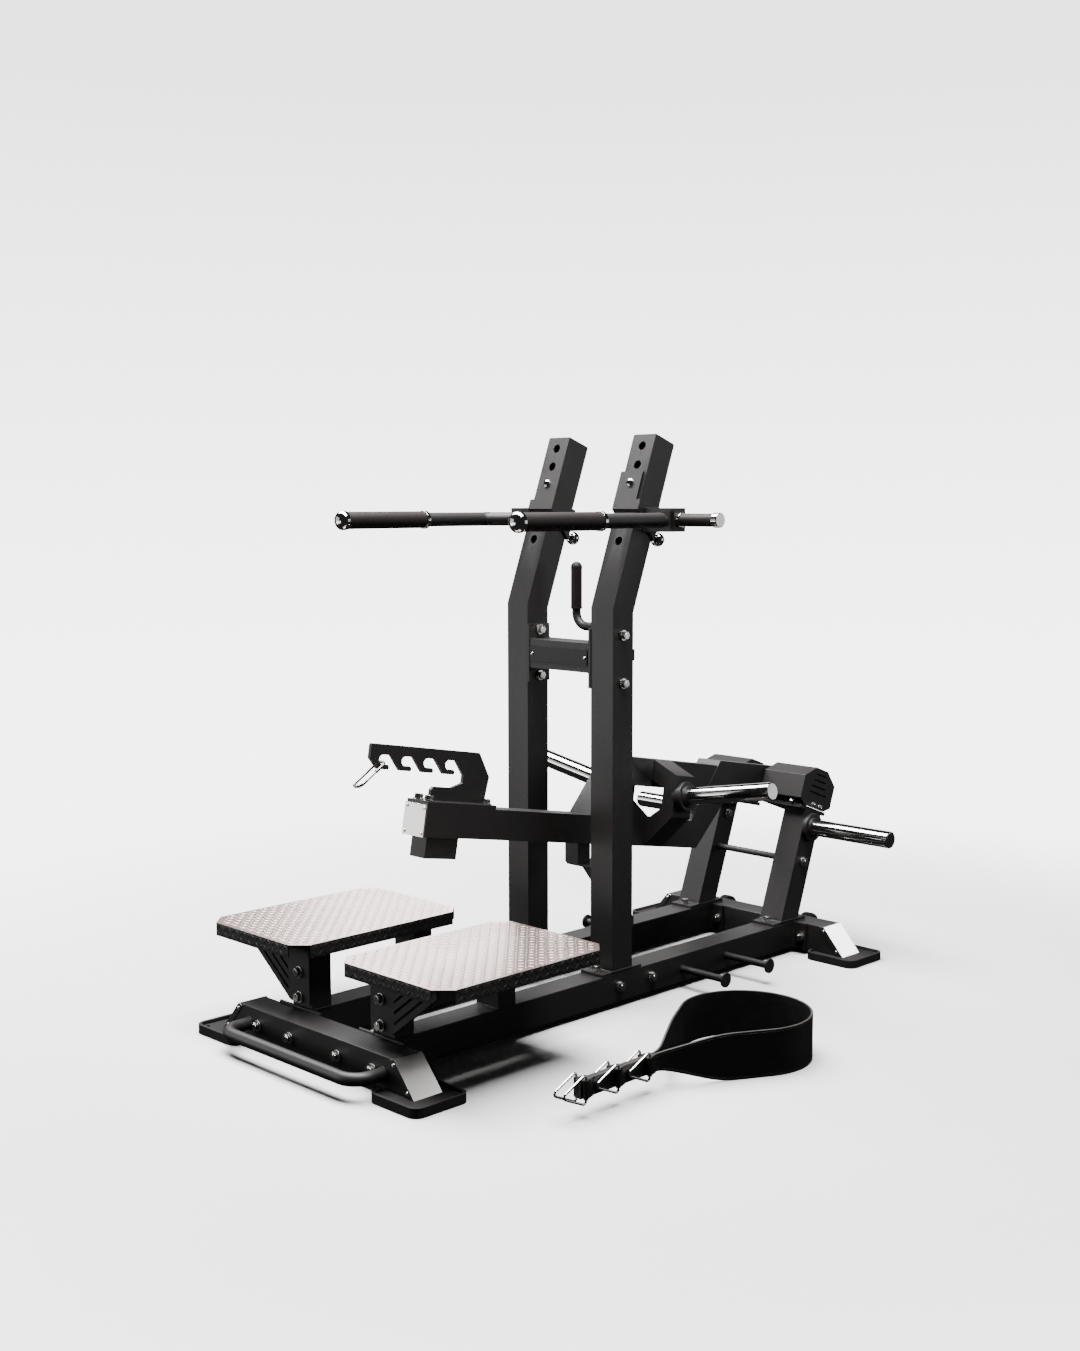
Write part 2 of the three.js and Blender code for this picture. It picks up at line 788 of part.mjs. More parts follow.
function rearPost(side) {
  const x = side * railCentre;
  const sink = seat;
  const outer = slabYZ(postOutline(0, sink), x - halfTube, x + halfTube);
  const inner = slabYZ(postOutline(wall, plate + overrun), x - halfTube + wall, x + halfTube - wall);
  const footMiddle = (postFoot + postFootRear) / 2;
  const foot = block(x - halfTube, x + halfTube, footMiddle - basePlateLength / 2,
    footMiddle + basePlateLength / 2, beamTop, footTop);
  const [low, high] = side < 0 ? [-railOuter, -headInner] : [headInner, railOuter];
  const headFloor = -headFoot - headPlate - sink;
  const head = slabYZ(outline([
    headPoint(-headPlateHalf, headFloor), headPoint(headPlateHalf, headFloor),
    headPoint(headPlateHalf, -headFoot), headPoint(-headPlateHalf, -headFoot)]),
  low + sheet + seat, high - sheet - seat);
  const inward = [-side, 0, 0];
  const heads = [
    bolt([x, footMiddle - basePlateLength / 2 + basePlateBoltInset, footTop], [0, 0, 1]),
    bolt([side * railOuter, braceY, braceHeight], [side, 0, 0]),
    bolt([side * railInner, storageHornY, storageHornHeight], inward)];
  return joined(cut(joined(outer, foot, head), cut(inner, head)), ...heads);
}

for (const [name, side] of sides) {
  node(machine, `${name}_rear_post`, blackPaint, rearPost(side));
}

// Round brace between the rear posts
node(machine, 'rear_brace', blackPaint,
  bar(braceDiameter, 2 * railInner, [-railInner, braceY, braceHeight], [1, 0, 0], 14));

// Pillow bearings under the guards
function bearing(side) {
  const middle = side * (headInner + sheet + bearingWidth / 2 + plate);
  const foot = slabYZ(outline([
    headPoint(-bearingBaseHalf, -headFoot + seat), headPoint(bearingBaseHalf, -headFoot + seat),
    headPoint(bearingBaseHalf, -headFoot + 2 * plate), headPoint(-bearingBaseHalf, -headFoot + 2 * plate)]),
  middle - bearingWidth / 2, middle + bearingWidth / 2);
  const start = [middle - bearingWidth / 2, pivotY, pivotHeight];
  const ring = bar(bearingOuter, bearingWidth, start, [1, 0, 0], 20);
  const bore = hole(shaftDiameter, bearingWidth, start, [1, 0, 0], 20);
  return cut(joined(foot, ring), bore);
}

for (const [name, side] of sides) {
  node(machine, `${name}_pivot_bearing`, blackPaint, bearing(side));
}

// Sheet guards over the bearings, open below, with louvres in the outer end
const guardFoot = seat - headFoot;

function guardOutline(inset, footDrop) {
  const side = headHalfDepth - inset;
  const shoulder = headShoulderReach;
  return outline([
    headPoint(-side, headShoulder), headPoint(-side, -headKnee),
    headPoint(-headFootReach - inset, guardFoot - footDrop),
    headPoint(headFootReach + inset, guardFoot - footDrop),
    headPoint(side, -headKnee), headPoint(side, headShoulder),
    headPoint(shoulder, headTop - inset), headPoint(-shoulder, headTop - inset)]);
}

function guard() {
  const body = slabYZ(guardOutline(0, 0), headInner, railOuter);
  const hollow = slabYZ(guardOutline(sheet, overrun), headInner + sheet, railOuter - sheet);
  const doorway = slabYZ(outline([
    headPoint(-shaftDiameter, -headFoot - overrun), headPoint(shaftDiameter, -headFoot - overrun),
    headPoint(shaftDiameter, shaftDiameter / 2), headPoint(-shaftDiameter, shaftDiameter / 2)]),
  headInner - overrun, headInner + sheet + seat);
  const slots = [];
  for (let i = 0; i < louvreCount; i += 1) {
    const height = headTop - louvrePitch * (i + 1);
    const half = (louvreLength / 2) * (1 + i / louvreCount);
    slots.push(slabYZ(outline([
      headPoint(-half, height - louvreThick / 2), headPoint(half, height - louvreThick / 2),
      headPoint(half, height + louvreThick / 2), headPoint(-half, height + louvreThick / 2)]),
    railOuter - sheet - seat, railOuter + overrun));
  }
  return cut(body, hollow, doorway, ...slots);
}

for (const [name, side] of sides) {
  node(machine, `${name}_bearing_guard`, blackPaint, handed(guard(), side));
}

// Plate storage horns on the rear posts
function storageHorn() {
  const reach = storageHornReach - railOuter;
  const radius = hornDiameter / 2;
  const profile = [
    [0, 0], [collarDiameter / 2, 0], [collarDiameter / 2, collarThick], [radius, collarThick],
    [radius, reach - hornChamfer], [radius - hornChamfer, reach], [0, reach]];
  return turned(profile, [railOuter, storageHornY, storageHornHeight], [1, 0, 0], 20);
}

for (const [name, side] of sides) {
  node(machine, `${name}_storage_horn`, chrome, handed(storageHorn(), side));
}

// Platforms: a deck on posts and arms, with skirts folded down its four straight sides
const skirtFoot = deckTop - skirtDepth;

function deckOutline(inset) {
  const c = deckChamfer;
  const x0 = deckInner + inset;
  const x1 = deckOuter - inset;
  const y0 = deckFront + inset;
  const y1 = deckRear - inset;
  return outline([
    [x0 + c, y0], [x1 - c, y0], [x1, y0 + c], [x1, y1 - c],
    [x1 - c, y1], [x0 + c, y1], [x0, y1 - c], [x0, y0 + c]]);
}

function deck() {
  const c = deckChamfer;
  const corners = [deckInner, deckOuter - c].flatMap((x) => [deckFront, deckRear - c].map((y) =>
    block(x, x + c, y, y + c, skirtFoot - overrun, deckTop - deckThick)));
  return cut(slabXY(deckOutline(0), skirtFoot, deckTop),
    slabXY(deckOutline(deckThick), skirtFoot - overrun, deckTop - deckThick), ...corners);
}

for (const [name, side] of sides) {
  node(machine, `${name}_platform`, deckGrit, handed(deck(), side));
}

function platformSupport() {
  const top = deckTop - deckThick;
  const pillar = (y) => block(railInner, railOuter, y, y + postDepth, beamTop, top);
  const hollow = (y) => block(railInner + wall, railOuter - wall, y + wall, y + postDepth - wall,
    beamTop - overrun, top - plate);
  const runner = block(railInner, railInner + barSide, frontPostY + postDepth, rearPostY,
    top - supportArmHeight, top);
  const arm = block(railOuter, supportArmReach, rearPostY, rearPostY + postDepth,
    top - supportArmHeight, top);
  const armHollow = block(railOuter + wall, supportArmReach + overrun, rearPostY + wall,
    rearPostY + postDepth - wall, top - supportArmHeight + wall, top - wall);
  const runnerHollow = block(railInner + wall, railInner + barSide - wall, frontPostY + wall,
    rearPostY + wall, top - supportArmHeight + wall, top - wall);
  return cut(joined(pillar(frontPostY), pillar(rearPostY), runner, arm),
    hollow(frontPostY), hollow(rearPostY), armHollow, runnerHollow);
}

for (const [name, side] of sides) {
  node(machine, `${name}_platform_support`, blackPaint, handed(platformSupport(), side));
}

// Slotted gusset plates on the front posts
function platformGusset() {
  const shape = outline([
    [railInner, gussetFoot], [railOuter, gussetFoot], [gussetReach, gussetTipHeight],
    [gussetReach, deckTop - deckThick], [railInner, deckTop - deckThick]]);
  const slots = [];
  const slope = (gussetTipHeight - gussetFoot) / (gussetReach - railOuter);
  for (let i = 0; i < gussetSlotCount; i += 1) {
    const foot = gussetFoot + gussetSlotRise * (i + 1);
    const x0 = railOuter + plate;
    const x1 = Math.min(gussetReach - 2 * plate, x0 + (skirtFoot - foot - plate) / slope);
    slots.push(slabXZ(outline([
      [x0, foot], [x1, foot + (x1 - x0) * slope], [x1, foot + (x1 - x0) * slope + gussetSlotThick],
      [x0, foot + gussetSlotThick]]), frontPostY - plate - overrun, frontPostY + overrun));
  }
  const heads = gussetBolts.map((z) => bolt([railCentre, frontPostY - plate, z], [0, -1, 0]));
  return joined(cut(slabXZ(shape, frontPostY - plate, frontPostY), ...slots), ...heads);
}

for (const [name, side] of sides) {
  node(machine, `${name}_platform_gusset`, blackPaint, handed(platformGusset(), side));
}

// Release handle: a standing rod that turns in the blocks behind the right upright
const release = new THREE.Group();
release.position.set(rodX, rodY, 0);
machine.add(release);

const rodPath = bentPath([
  [0, 0, rodFoot], [0, 0, rodTop], [releaseGripX - rodX, 0, rodTop],
  [releaseGripX - rodX, 0, releaseGripTop - plate]], rodBend);
node(release, 'release_rod', blackPaint, bentBar(rodPath, rodDiameter, 12));

function releaseGrip() {
  const radius = releaseGripDiameter / 2;
  const bore = clearRadius(rodDiameter, 14);
  const height = releaseGripTop - releaseGripFoot;
  const profile = [
    [bore, 0], [radius, 0], [radius, height - radius / 2], [radius / 2, height], [0, height],
    [0, height - plate + seat], [bore, height - plate + seat], [bore, 0]];
  return turned(profile, [releaseGripX - rodX, 0, releaseGripFoot], [0, 0, 1], 14);
}

node(release, 'release_grip', gripFoam, releaseGrip());

const catchTop = restHeight - seat;

function catchArm() {
  const deckPlate = block(-catchReach - rodX, -plate * 2, catchFront - rodY, catchRear - rodY,
    catchTop - plate, catchTop);
  const toe = catchTop - 2 * plate;
  const drop = toe - catchFoot;
  const web = slabXZ(outline([
    [-catchReach + plate - rodX, catchTop - plate / 2], [-catchReach + plate - rodX, toe],
    [-catchReach + plate - rodX + drop, catchFoot], [-plate, catchFoot], [-plate, catchTop - plate / 2]]),
  -plate / 2, plate / 2);
  const hub = bar(catchHub, catchTop - catchFoot, [0, 0, catchFoot], [0, 0, 1], 16);
  const bore = hole(rodDiameter, catchTop - catchFoot, [0, 0, catchFoot], [0, 0, 1]);
  return cut(joined(deckPlate, web, hub), bore);
}

node(release, 'catch_arm', blackPaint, catchArm());

// Lever: a closed frame of square tube that turns on a shaft in the bearings
const lever = new THREE.Group();
lever.position.set(0, pivotY, pivotHeight);
lever.rotation.x = -leverTilt;
machine.add(lever);

const braceSlope = (frontBraceHead - frontBraceFoot) / (beamHigh - armHigh);
const braceWide = tube * Math.hypot(1, braceSlope);
const frontBrace = (height) => frontBraceFoot + (height - armHigh) * braceSlope;
const seam = (height) => hubFront - (hubHalf - height) * (hubSeamLean / (hubHalf - beamLow / 2));
const rearBraceLow = (height) => armEnd + (height - armLow) * rearBraceShare;

function leverOutline() {
  const shape = outline([
    [noseAlong, armLow], [armEnd, armLow], [rearBraceLow(-hubHalf), -hubHalf], [hubRear, -hubHalf],
    [hubRear, hubHalf], [hubFront, hubHalf], [seam(beamHigh), beamHigh], [frontBraceHead, beamHigh],
    [frontBraceFoot, armHigh], [noseAlong, armHigh]]);
  const window = outline([
    [frontBrace(armHigh) + braceWide + gussetAlong, armHigh],
    [frontBrace(armHigh + gussetUp) + braceWide, armHigh + gussetUp],
    [frontBrace(beamLow) + braceWide, beamLow],
    [seam(beamLow), beamLow],
    [seam(armHigh), armHigh]]);
  shape.holes.push(window);
  return shape;
}

function leverHollow() {
  const arm = block(-halfTube + wall, halfTube - wall, noseAlong - overrun, armEnd - tube,
    armLow + wall, armHigh - wall);
  const beam = block(-halfTube + wall, halfTube - wall, frontBraceHead + wall + wall, hubFront + tube,
    beamLow + wall, beamHigh - wall);
  const edge = wall * Math.hypot(1, braceSlope);
  const brace = slabYZ(outline([
    [frontBrace(armHigh - wall) + edge, armHigh - wall], [frontBrace(beamLow + wall) + edge, beamLow + wall],
    [frontBrace(beamLow + wall) + braceWide - edge, beamLow + wall],
    [frontBrace(armHigh - wall) + braceWide - edge, armHigh - wall]]), -halfTube + wall, halfTube - wall);
  return joined(arm, beam, brace);
}

function leverSideBracket(side) {
  const shape = outline([
    [halfTube, beamHigh], [bracketReach, bracketTop], [bracketReach, bracketFoot], [halfTube, armLow],
    [halfTube, armHigh], [bracketReach - bracketStrip, bracketFoot + tube / 4],
    [bracketReach - bracketStrip, bracketTop - halfTube], [halfTube, beamLow + tube / 4]]);
  return handed(slabXZ(shape, bracketFront, bracketFront + bracketDepth), side);
}

// The rest stub stands level and upright when the lever lies at rest
function restStub() {
  const stub = block(-restStubWidth / 2, restStubWidth / 2, restStubFront - pivotY,
    restStubFront + restStubWidth - pivotY, restHeight - pivotHeight, restHeight - pivotHeight + 2 * tube);
  stub.rotateX(leverTilt);
  const below = block(-tube, tube, noseAlong, 0, armLow - tube * 2, armLow + wall);
  return common(stub, below);
}

function leverFrame() {
  const body = slabYZ(leverOutline(), -halfTube, halfTube);
  const hub = slabYZ(outline([
    [seam(-hubHalf), -hubHalf], [hubRear, -hubHalf], [hubRear, hubHalf], [hubFront, hubHalf]]),
  -halfTube - hubSkin, halfTube + hubSkin);
  const nose = block(-noseStubWidth / 2, noseStubWidth / 2, noseAlong + noseStubInset,
    noseAlong + noseStubInset + noseStubLength, armLow - noseStubDepth, armLow);
  const bore = hole(shaftDiameter, 2 * tube, [-tube, 0, 0], [1, 0, 0], 20);
  const whole = joined(cut(body, leverHollow()), hub, nose, restStub(),
    leverSideBracket(-1), leverSideBracket(1));
  return cut(whole, bore);
}

node(lever, 'lever_frame', blackPaint, leverFrame());

const shaftHalf = headInner + sheet + plate + bearingWidth + plate;
node(lever, 'pivot_shaft', zinc, bar(shaftDiameter, 2 * shaftHalf, [-shaftHalf, 0, 0], [1, 0, 0], 20));

// Plate horns on the lever with their shoulders, tipped up towards their ends
function weightHorn(side) {
  const start = bracketReach + seat;
  const rise = weightHornUp - weightHornHub;
  const run = weightHornReach - start;
  const slope = rise / run;
  const along = bracketFront + bracketDepth / 2;
  const length = Math.hypot(run, rise);
  const radius = hornDiameter / 2;
  const back = hornDiameter;
  const shoulder = collarDiameter / 2;
  const profile = [
    [0, -back], [shoulder, -back], [shoulder, weightCollarThick], [radius, weightCollarThick],
    [radius, length - hornChamfer], [radius - hornChamfer, length], [0, length]];
  const whole = turned(profile, [start, along, weightHornHub], [1, 0, slope], 20);
  const behind = block(start - 3 * back, start, along - back, along + back, weightHornHub - 2 * back,
    weightHornHub + 2 * back);
  return handed(cut(whole, behind), side);
}

for (const [name, side] of sides) {
  node(lever, `${name}_weight_horn`, chrome, weightHorn(side));
}

// Square end plate on the nose
function endPlate() {
  const middle = (armLow + armHigh) / 2;
  const face = noseAlong - seat;
  const body = block(-endPlateHalf, endPlateHalf, face - endPlateThick, face, middle - endPlateHalf,
    middle + endPlateHalf);
  const corner = endPlateHalf - smallScrew;
  const screws = [[-1, -1], [-1, 1], [1, -1], [1, 1]].map(([x, z]) =>
    screw([x * corner, face - endPlateThick, middle + z * corner], [0, -1, 0]));
  return joined(body, ...screws);
}

node(lever, 'lever_end_plate', satinSteel, endPlate());

// Hook plate: a bar with four slanting slots, welded to a base that is bolted on the arm
function hookOutline() {
  const shape = new THREE.Shape();
  shape.moveTo(hookFront, hookTop);
  shape.lineTo(hookFront, hookFrontCorner);
  shape.lineTo(toothTip - slotSlant, toothFoot);
  const radius = (pocketTop - pocketFloor) / 2;
  for (let i = 0; i < toothCount; i += 1) {
    const tip = toothTip + i * toothPitch;
    shape.lineTo(tip, toothFoot);
    shape.lineTo(tip, pocketFloor - wall);
    shape.lineTo(tip - wall, pocketFloor);
    shape.absarc(tip - pocketLength + radius, (pocketFloor + pocketTop) / 2, radius,
      -Math.PI / 2, Math.PI / 2, true);
    shape.lineTo(tip + wall / 2, pocketTop);
    const root = i < toothCount - 1 ? tip + slotSlant : hookThroat;
    shape.lineTo(root, toothFoot);
  }
  shape.lineTo(hookThroat, hookThroatFloor + hookThroatRise);
  shape.lineTo(hookThroat - slotSlant, hookThroatFloor);
  shape.lineTo(hookFootFront + plate, hookThroatFloor);
  shape.lineTo(hookFootFront, hookThroatFloor - plate);
  shape.lineTo(hookFootFront, armHigh + seat + hookBase);
  shape.lineTo(hookRearFoot, armHigh + seat + hookBase);
  shape.lineTo(hookRearMid, hookRearMidHeight);
  shape.lineTo(hookRearTop, hookTop);
  return shape;
}

function hookPlate() {
  const upstand = slabYZ(hookOutline(), -hookThick / 2, hookThick / 2, 8);
  const base = block(-halfTube, halfTube, noseAlong, hookBaseRear,
    armHigh + seat, armHigh + seat + hookBase);
  const heads = [noseAlong + hookBolt, hookBaseRear - hookBolt].flatMap((along) => [-1, 1].map((side) =>
    bolt([side * hookBolt, along, armHigh + hookBase + seat], [0, 0, 1])));
  return joined(upstand, base, ...heads);
}

node(lever, 'hook_plate', blackPaint, hookPlate());

// Carabiner hanging in the first hook, turned with the lever at rest
const clipAlong = toothTip - pocketLength + (pocketTop - pocketFloor) / 2 + clipRest;
const clipUp = pocketFloor + clipWire / 2 + clipClear;
const clip = new THREE.Group();
clip.position.set(0, clipAlong, clipUp);
clip.rotation.x = leverTilt + clipDroop;
lever.add(clip);

const gateFoot = -clipLength + clipHalfWidth + clipWire;
const gateHead = gateFoot + clipGateLength;

function clipBody() {
  const path = bentPath([
    [0, 0, 0], [-clipHalfWidth, 0, 0], [-clipHalfWidth, -clipLength, 0],
    [clipHalfWidth, -clipLength, 0], [clipHalfWidth, 0, 0], [0, 0, 0]], clipHalfWidth - seat);
  const loop = bentBar(path, clipWire, 8);
  const gap = block(clipHalfWidth - clipWire, clipHalfWidth + clipWire, gateFoot, gateHead,
    -clipWire, clipWire);
  return cut(loop, gap);
}

node(clip, 'carabiner', zinc, clipBody());

// The gate turns on a pin in its rounded foot
function clipGate() {
  const r = clipGateWire / 2;
  const length = clipGateLength - 2 * seat;
  const profile = [
    [0, 0], [r * knobShares[0], r * knobRises[0]], [r * knobShares[1], r * knobRises[1]], [r, r],
    [r, length], [0, length]];
  return turned(profile, [clipHalfWidth, gateFoot + seat, 0], [0, 1, 0], 8);
}

node(clip, 'carabiner_gate', zinc, clipGate());

// Handle carriages: a sleeve round the upright with an arm box,
// a long forward handle and a short side handle
const [armDepth, armHeight] = slopePoint(armInset, armPlace);
const armMiddle = railCentre + (halfTube + armReach) / 2;
const handleKneeY = armDepth - kneeSetback - handleReach + armMiddle;

function carriage() {
  const half = halfTube + runningGap + sleeveWall;
  const front = -runningGap - sleeveWall;
  const rear = tube + runningGap + sleeveWall;
  const skin = slabYZ(outline([
    slopePoint(front, sleeveFrontFoot), slopePoint(rear, sleeveFoot), slopePoint(rear, sleeveTop),
    slopePoint(front, sleeveTop)]), railCentre - half, railCentre + half);
  const tab = slabYZ(outline([
    slopePoint(front, sleeveFrontFoot), slopePoint(-runningGap, sleeveFrontFoot),
    slopePoint(-runningGap, tabTop), slopePoint(front, tabTop)]),
  railCentre - half, railCentre + halfTube - plate);
  const channel = slabYZ(outline([
    slopePoint(-runningGap, sleeveFoot - tube), slopePoint(tube + runningGap, sleeveFoot - tube),
    slopePoint(tube + runningGap, tabTop + tube), slopePoint(-runningGap, tabTop + tube)]),
  railInner - runningGap, railOuter + runningGap);
  const armHalf = armSide / 2;
  const box = block(railOuter + runningGap, railCentre + armReach, armDepth - armHalf, armDepth + armHalf,
    armHeight - armHalf, armHeight + armHalf);
  const boxHollow = block(railOuter - overrun, railCentre + armReach - wall, armDepth - armHalf + wall,
    armDepth + armHalf - wall, armHeight - armHalf + wall, armHeight + armHalf - wall);
  const boss = block(railCentre + armReach, railCentre + armReach + sideBoss, armDepth - sideBossSide / 2,
    armDepth + sideBossSide / 2, armHeight - sideBossSide / 2, armHeight + sideBossSide / 2);
  const sideRod = bar(sideRodDiameter, sideBoss + ringWidth + sideGripLength + boltSink,
    [railCentre + armReach, armDepth, armHeight], [1, 0, 0], 12);
  const path = bentPath([
    [handleReach, gripFront - boltSink, armHeight], [handleReach, handleKneeY, armHeight],
    [armMiddle, handleKneeY + handleReach - armMiddle, armHeight]], handleDiameter);
  const forward = bentBar(path, handleDiameter, 14);
  const [pinY, pinZ] = slopePoint(tube + runningGap, pinPlace);
  const barrel = bar(pinBarrel, sleeveWall + pinBarrelLength, [railCentre, pinY, pinZ], slopeRear, 14);
  const bore = hole(pinDiameter, tube, [railCentre, pinY, pinZ], slopeRear, 14);
  const outer = joined(skin, tab, box, boss, sideRod, forward, barrel, ...handleFittings());
  return cut(outer, channel, boxHollow, bore);
}

// Grips are sleeves held between the collar and the cap of each handle
function sleeve(rod, diameter, length, at, direction) {
  const inner = clearRadius(rod, 16);
  const outer = diameter / 2;
  return turned([[inner, 0], [outer, 0], [outer, length], [inner, length], [inner, 0]], at, direction, 16);
}

function frontGrip() {
  return sleeve(handleDiameter, gripDiameter, gripRear - gripFront - 2 * seat,
    [handleReach, gripFront + seat, armHeight], [0, 1, 0]);
}

function sideGrip() {
  return sleeve(sideRodDiameter, sideGripDiameter, sideGripLength - 2 * seat,
    [sideGripStart + seat, armDepth, armHeight], [1, 0, 0]);
}

// Caps and collars at the ends of the grips, and the round stud on the tab
function handleFittings() {
  const radius = capDiameter / 2;
  const cap = turned([
    [0, 0], [radius * domeShares[0], radius * domeRises[0]], [radius * domeShares[1], radius * domeRises[1]],
    [radius, radius * domeRises[2]], [radius, gripFront - handleTip], [0, gripFront - handleTip]],
  [handleReach, handleTip, armHeight], [0, 1, 0], 16);
  const collar = bar(capDiameter, ringWidth, [handleReach, gripRear, armHeight], [0, 1, 0], 16);
  const sideCollar = bar(sideCapDiameter, ringWidth, [sideGripStart - ringWidth, armDepth, armHeight],
    [1, 0, 0], 14);
  const sideCap = bar(sideCapDiameter, sideCapLength, [sideGripStart + sideGripLength, armDepth, armHeight],
    [1, 0, 0], 14);
  const [studY, studZ] = slopePoint(-runningGap - sleeveWall + boltSink, studPlace);
  const stud = bar(studDiameter, studHeight + boltSink, [railCentre - wall, studY, studZ],
    slopeRear.map((v) => -v), 12);
  return [cap, collar, sideCollar, sideCap, stud];
}

// Pull pins, drawn out of their holes: each ends just clear of the upright
function popPin() {
  const start = tube + pinClear;
  const radius = pinDiameter / 2;
  const knobEnd = pinKnobOut + pinKnob / 2 - pinClear;
  const knobStart = knobEnd - pinKnob;
  const r = pinKnob / 2;
  const neck = radius * knobShares[1];
  const [low, lowMiddle, middle, highMiddle, high] = knobRises.map((share) => knobStart + r * share);
  const profile = [
    [0, 0], [radius - pinPoint, 0], [radius, pinPoint], [radius, knobStart - pinPoint], [neck, low],
    [r * knobShares[1], lowMiddle], [r, middle], [r * knobShares[1], highMiddle], [r * knobShares[0], high],
    [0, knobEnd]];
  const [y, z] = slopePoint(start, pinPlace);
  return turned(profile, [railCentre, y, z], slopeRear, 14);
}

for (const [name, side] of sides) {
  node(machine, `${name}_handle_carriage`, blackPaint, handed(carriage(), side));
  node(machine, `${name}_front_grip`, gripFoam, handed(frontGrip(), side));
  node(machine, `${name}_side_grip`, gripFoam, handed(sideGrip(), side));
  node(machine, `${name}_pop_pin`, chrome, handed(popPin(), side));
}

// Belt: a leather loop that stands on its edge and narrows to a doubled tail
const tailMiddle = beltTailFoot + beltTailHeight / 2;
const tailFace = beltGap / 2 + beltThick + beltTailLayer;

function beltStrap() {
  const reach = beltCentreY - beltJoinY;
  const angle = Math.asin(beltRadius / reach);
  const side = (offset) => {
    const radius = beltRadius + offset;
    const shape = new THREE.Shape();
    const half = beltGap / 2 + beltThick / 2 + offset;
    shape.moveTo(beltX - half, beltEndY);
    shape.lineTo(beltX - half, beltJoinY - beltThick);
    shape.absarc(beltX, beltCentreY, radius, Math.PI + angle, -angle, true);
    shape.lineTo(beltX + half, beltJoinY - beltThick);
    shape.lineTo(beltX + half, beltEndY);
    return shape;
  };
  const outer = slabXY(side(beltThick / 2), 0, beltHeight, 28);
  const inner = slabXY(side(-beltThick / 2), -overrun, beltHeight + overrun, 28);
  const low = beltTailFoot;
  const high = beltTailFoot + beltTailHeight;
  const far = beltCentreY + beltRadius + overrun;
  const profile = slabYZ(outline([
    [beltEndY, low], [beltTaperStart, low], [beltTaperEnd, 0], [far, 0], [far, beltHeight],
    [beltTaperEnd, beltHeight], [beltTaperStart, high], [beltEndY, high]]),
  beltX - beltRadius - overrun, beltX + beltRadius + overrun);
  const layer = block(tailFace - beltThick, tailFace, beltEndY, beltTaperStart, low, high);
  const layers = [-1, 1].map((side) => handed(layer, side).translate(beltX, 0, 0));
  return joined(common(cut(outer, inner), profile), ...layers);
}

// Tabs on the tail that hold the rings, and the rings as triangles of wire
const ringX = tailFace + tabThick / 2;

function beltTab(side, y) {
  const root = tailFace - beltThick / 2;
  const shape = outline([
    [root, y - tabNose], [tailFace + tabThick, y - tabNose], [tailFace + tabThick, y + tabNose],
    [tailFace + tabThick / 4, y + tabTail], [root, y + tabTail]]);
  const body = slabXY(shape, tailMiddle - tabHeight / 2, tailMiddle + tabHeight / 2);
  const bore = hole(ringWire, tabHeight, [ringX, y, tailMiddle - tabHeight / 2], [0, 0, 1], 8);
  return handed(cut(body, bore), side).translate(beltX, 0, 0);
}

function beltRing() {
  const half = ringHeight / 2;
  const path = bentPath([
    [0, 0, 0], [0, 0, half], [0, -ringReach, 0], [0, 0, -half], [0, 0, 0]], ringBend, 3);
  return bentBar(path, ringWire, 8);
}

const tabs = [];
for (let i = 0; i < ringCount; i += 1) {
  const y = firstRing + i * ringPitch;
  for (const [name, side] of sides) {
    tabs.push(beltTab(side, y));
    const ring = node(machine, `belt_ring_${name}_${i + 1}`, zinc, beltRing());
    ring.position.set(beltX + side * ringX, y, tailMiddle);
  }
}
node(machine, 'belt_strap', leather, joined(beltStrap(), ...tabs));

// The part's origin is the middle of its footprint on the floor
const part = new THREE.Group();
part.add(machine);
part.updateMatrixWorld(true);
const bounds = new THREE.Box3().setFromObject(machine, true);
machine.position.set(-(bounds.min.x + bounds.max.x) / 2, -(bounds.min.y + bounds.max.y) / 2, -bounds.min.z);
part.updateMatrixWorld(true);

export default part;
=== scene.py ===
from math import asin, cos, pi, radians, sin, sqrt, tan
import bmesh
from bmesh import ops
import bpy
from mathutils import Matrix, Vector


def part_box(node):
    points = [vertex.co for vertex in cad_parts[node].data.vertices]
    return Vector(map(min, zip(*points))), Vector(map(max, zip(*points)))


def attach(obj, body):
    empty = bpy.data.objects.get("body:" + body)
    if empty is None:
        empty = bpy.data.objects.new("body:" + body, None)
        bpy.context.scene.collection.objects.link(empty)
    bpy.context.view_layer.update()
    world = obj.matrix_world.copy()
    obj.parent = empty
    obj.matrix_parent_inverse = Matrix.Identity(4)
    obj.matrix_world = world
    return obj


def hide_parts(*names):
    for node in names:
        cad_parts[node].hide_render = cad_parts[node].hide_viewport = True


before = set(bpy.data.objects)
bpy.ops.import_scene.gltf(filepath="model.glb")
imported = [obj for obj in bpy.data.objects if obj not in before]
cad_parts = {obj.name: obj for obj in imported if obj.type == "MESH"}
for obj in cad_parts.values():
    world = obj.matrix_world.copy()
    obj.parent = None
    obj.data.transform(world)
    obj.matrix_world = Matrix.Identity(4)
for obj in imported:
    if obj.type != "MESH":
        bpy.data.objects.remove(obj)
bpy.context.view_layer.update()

# Measures are millimetres in the machine's own axes: X across with the middle plane at 0,
# Y from the front of the base to the rear, Z up from the floor.
TUBE = 79.0
HALF = TUBE / 2
PLATE = 8.0
SHEET = 3.0
RAIL = 160.0
RAIL_INNER, RAIL_OUTER = RAIL - HALF, RAIL + HALF
PAD = 16.0
BEAM_TOP = PAD + TUBE
FOOT_TOP = BEAM_TOP + PLATE
FRONT_BEAM = 50.0
REAR_BEAM = 1708.0
BEAM_REACH = 372.0
END_RUN = 69.0
COVER_LIP = 15.0
FLANGE_BOLT = 66.0
FLANGE_HEIGHT = 53.5
CARRY_REACH, CARRY_OUT, CARRY_BEND, CARRY_RADIUS, CARRY_HEIGHT = 263.0, 84.0, 50.0, 16.0, 51.5
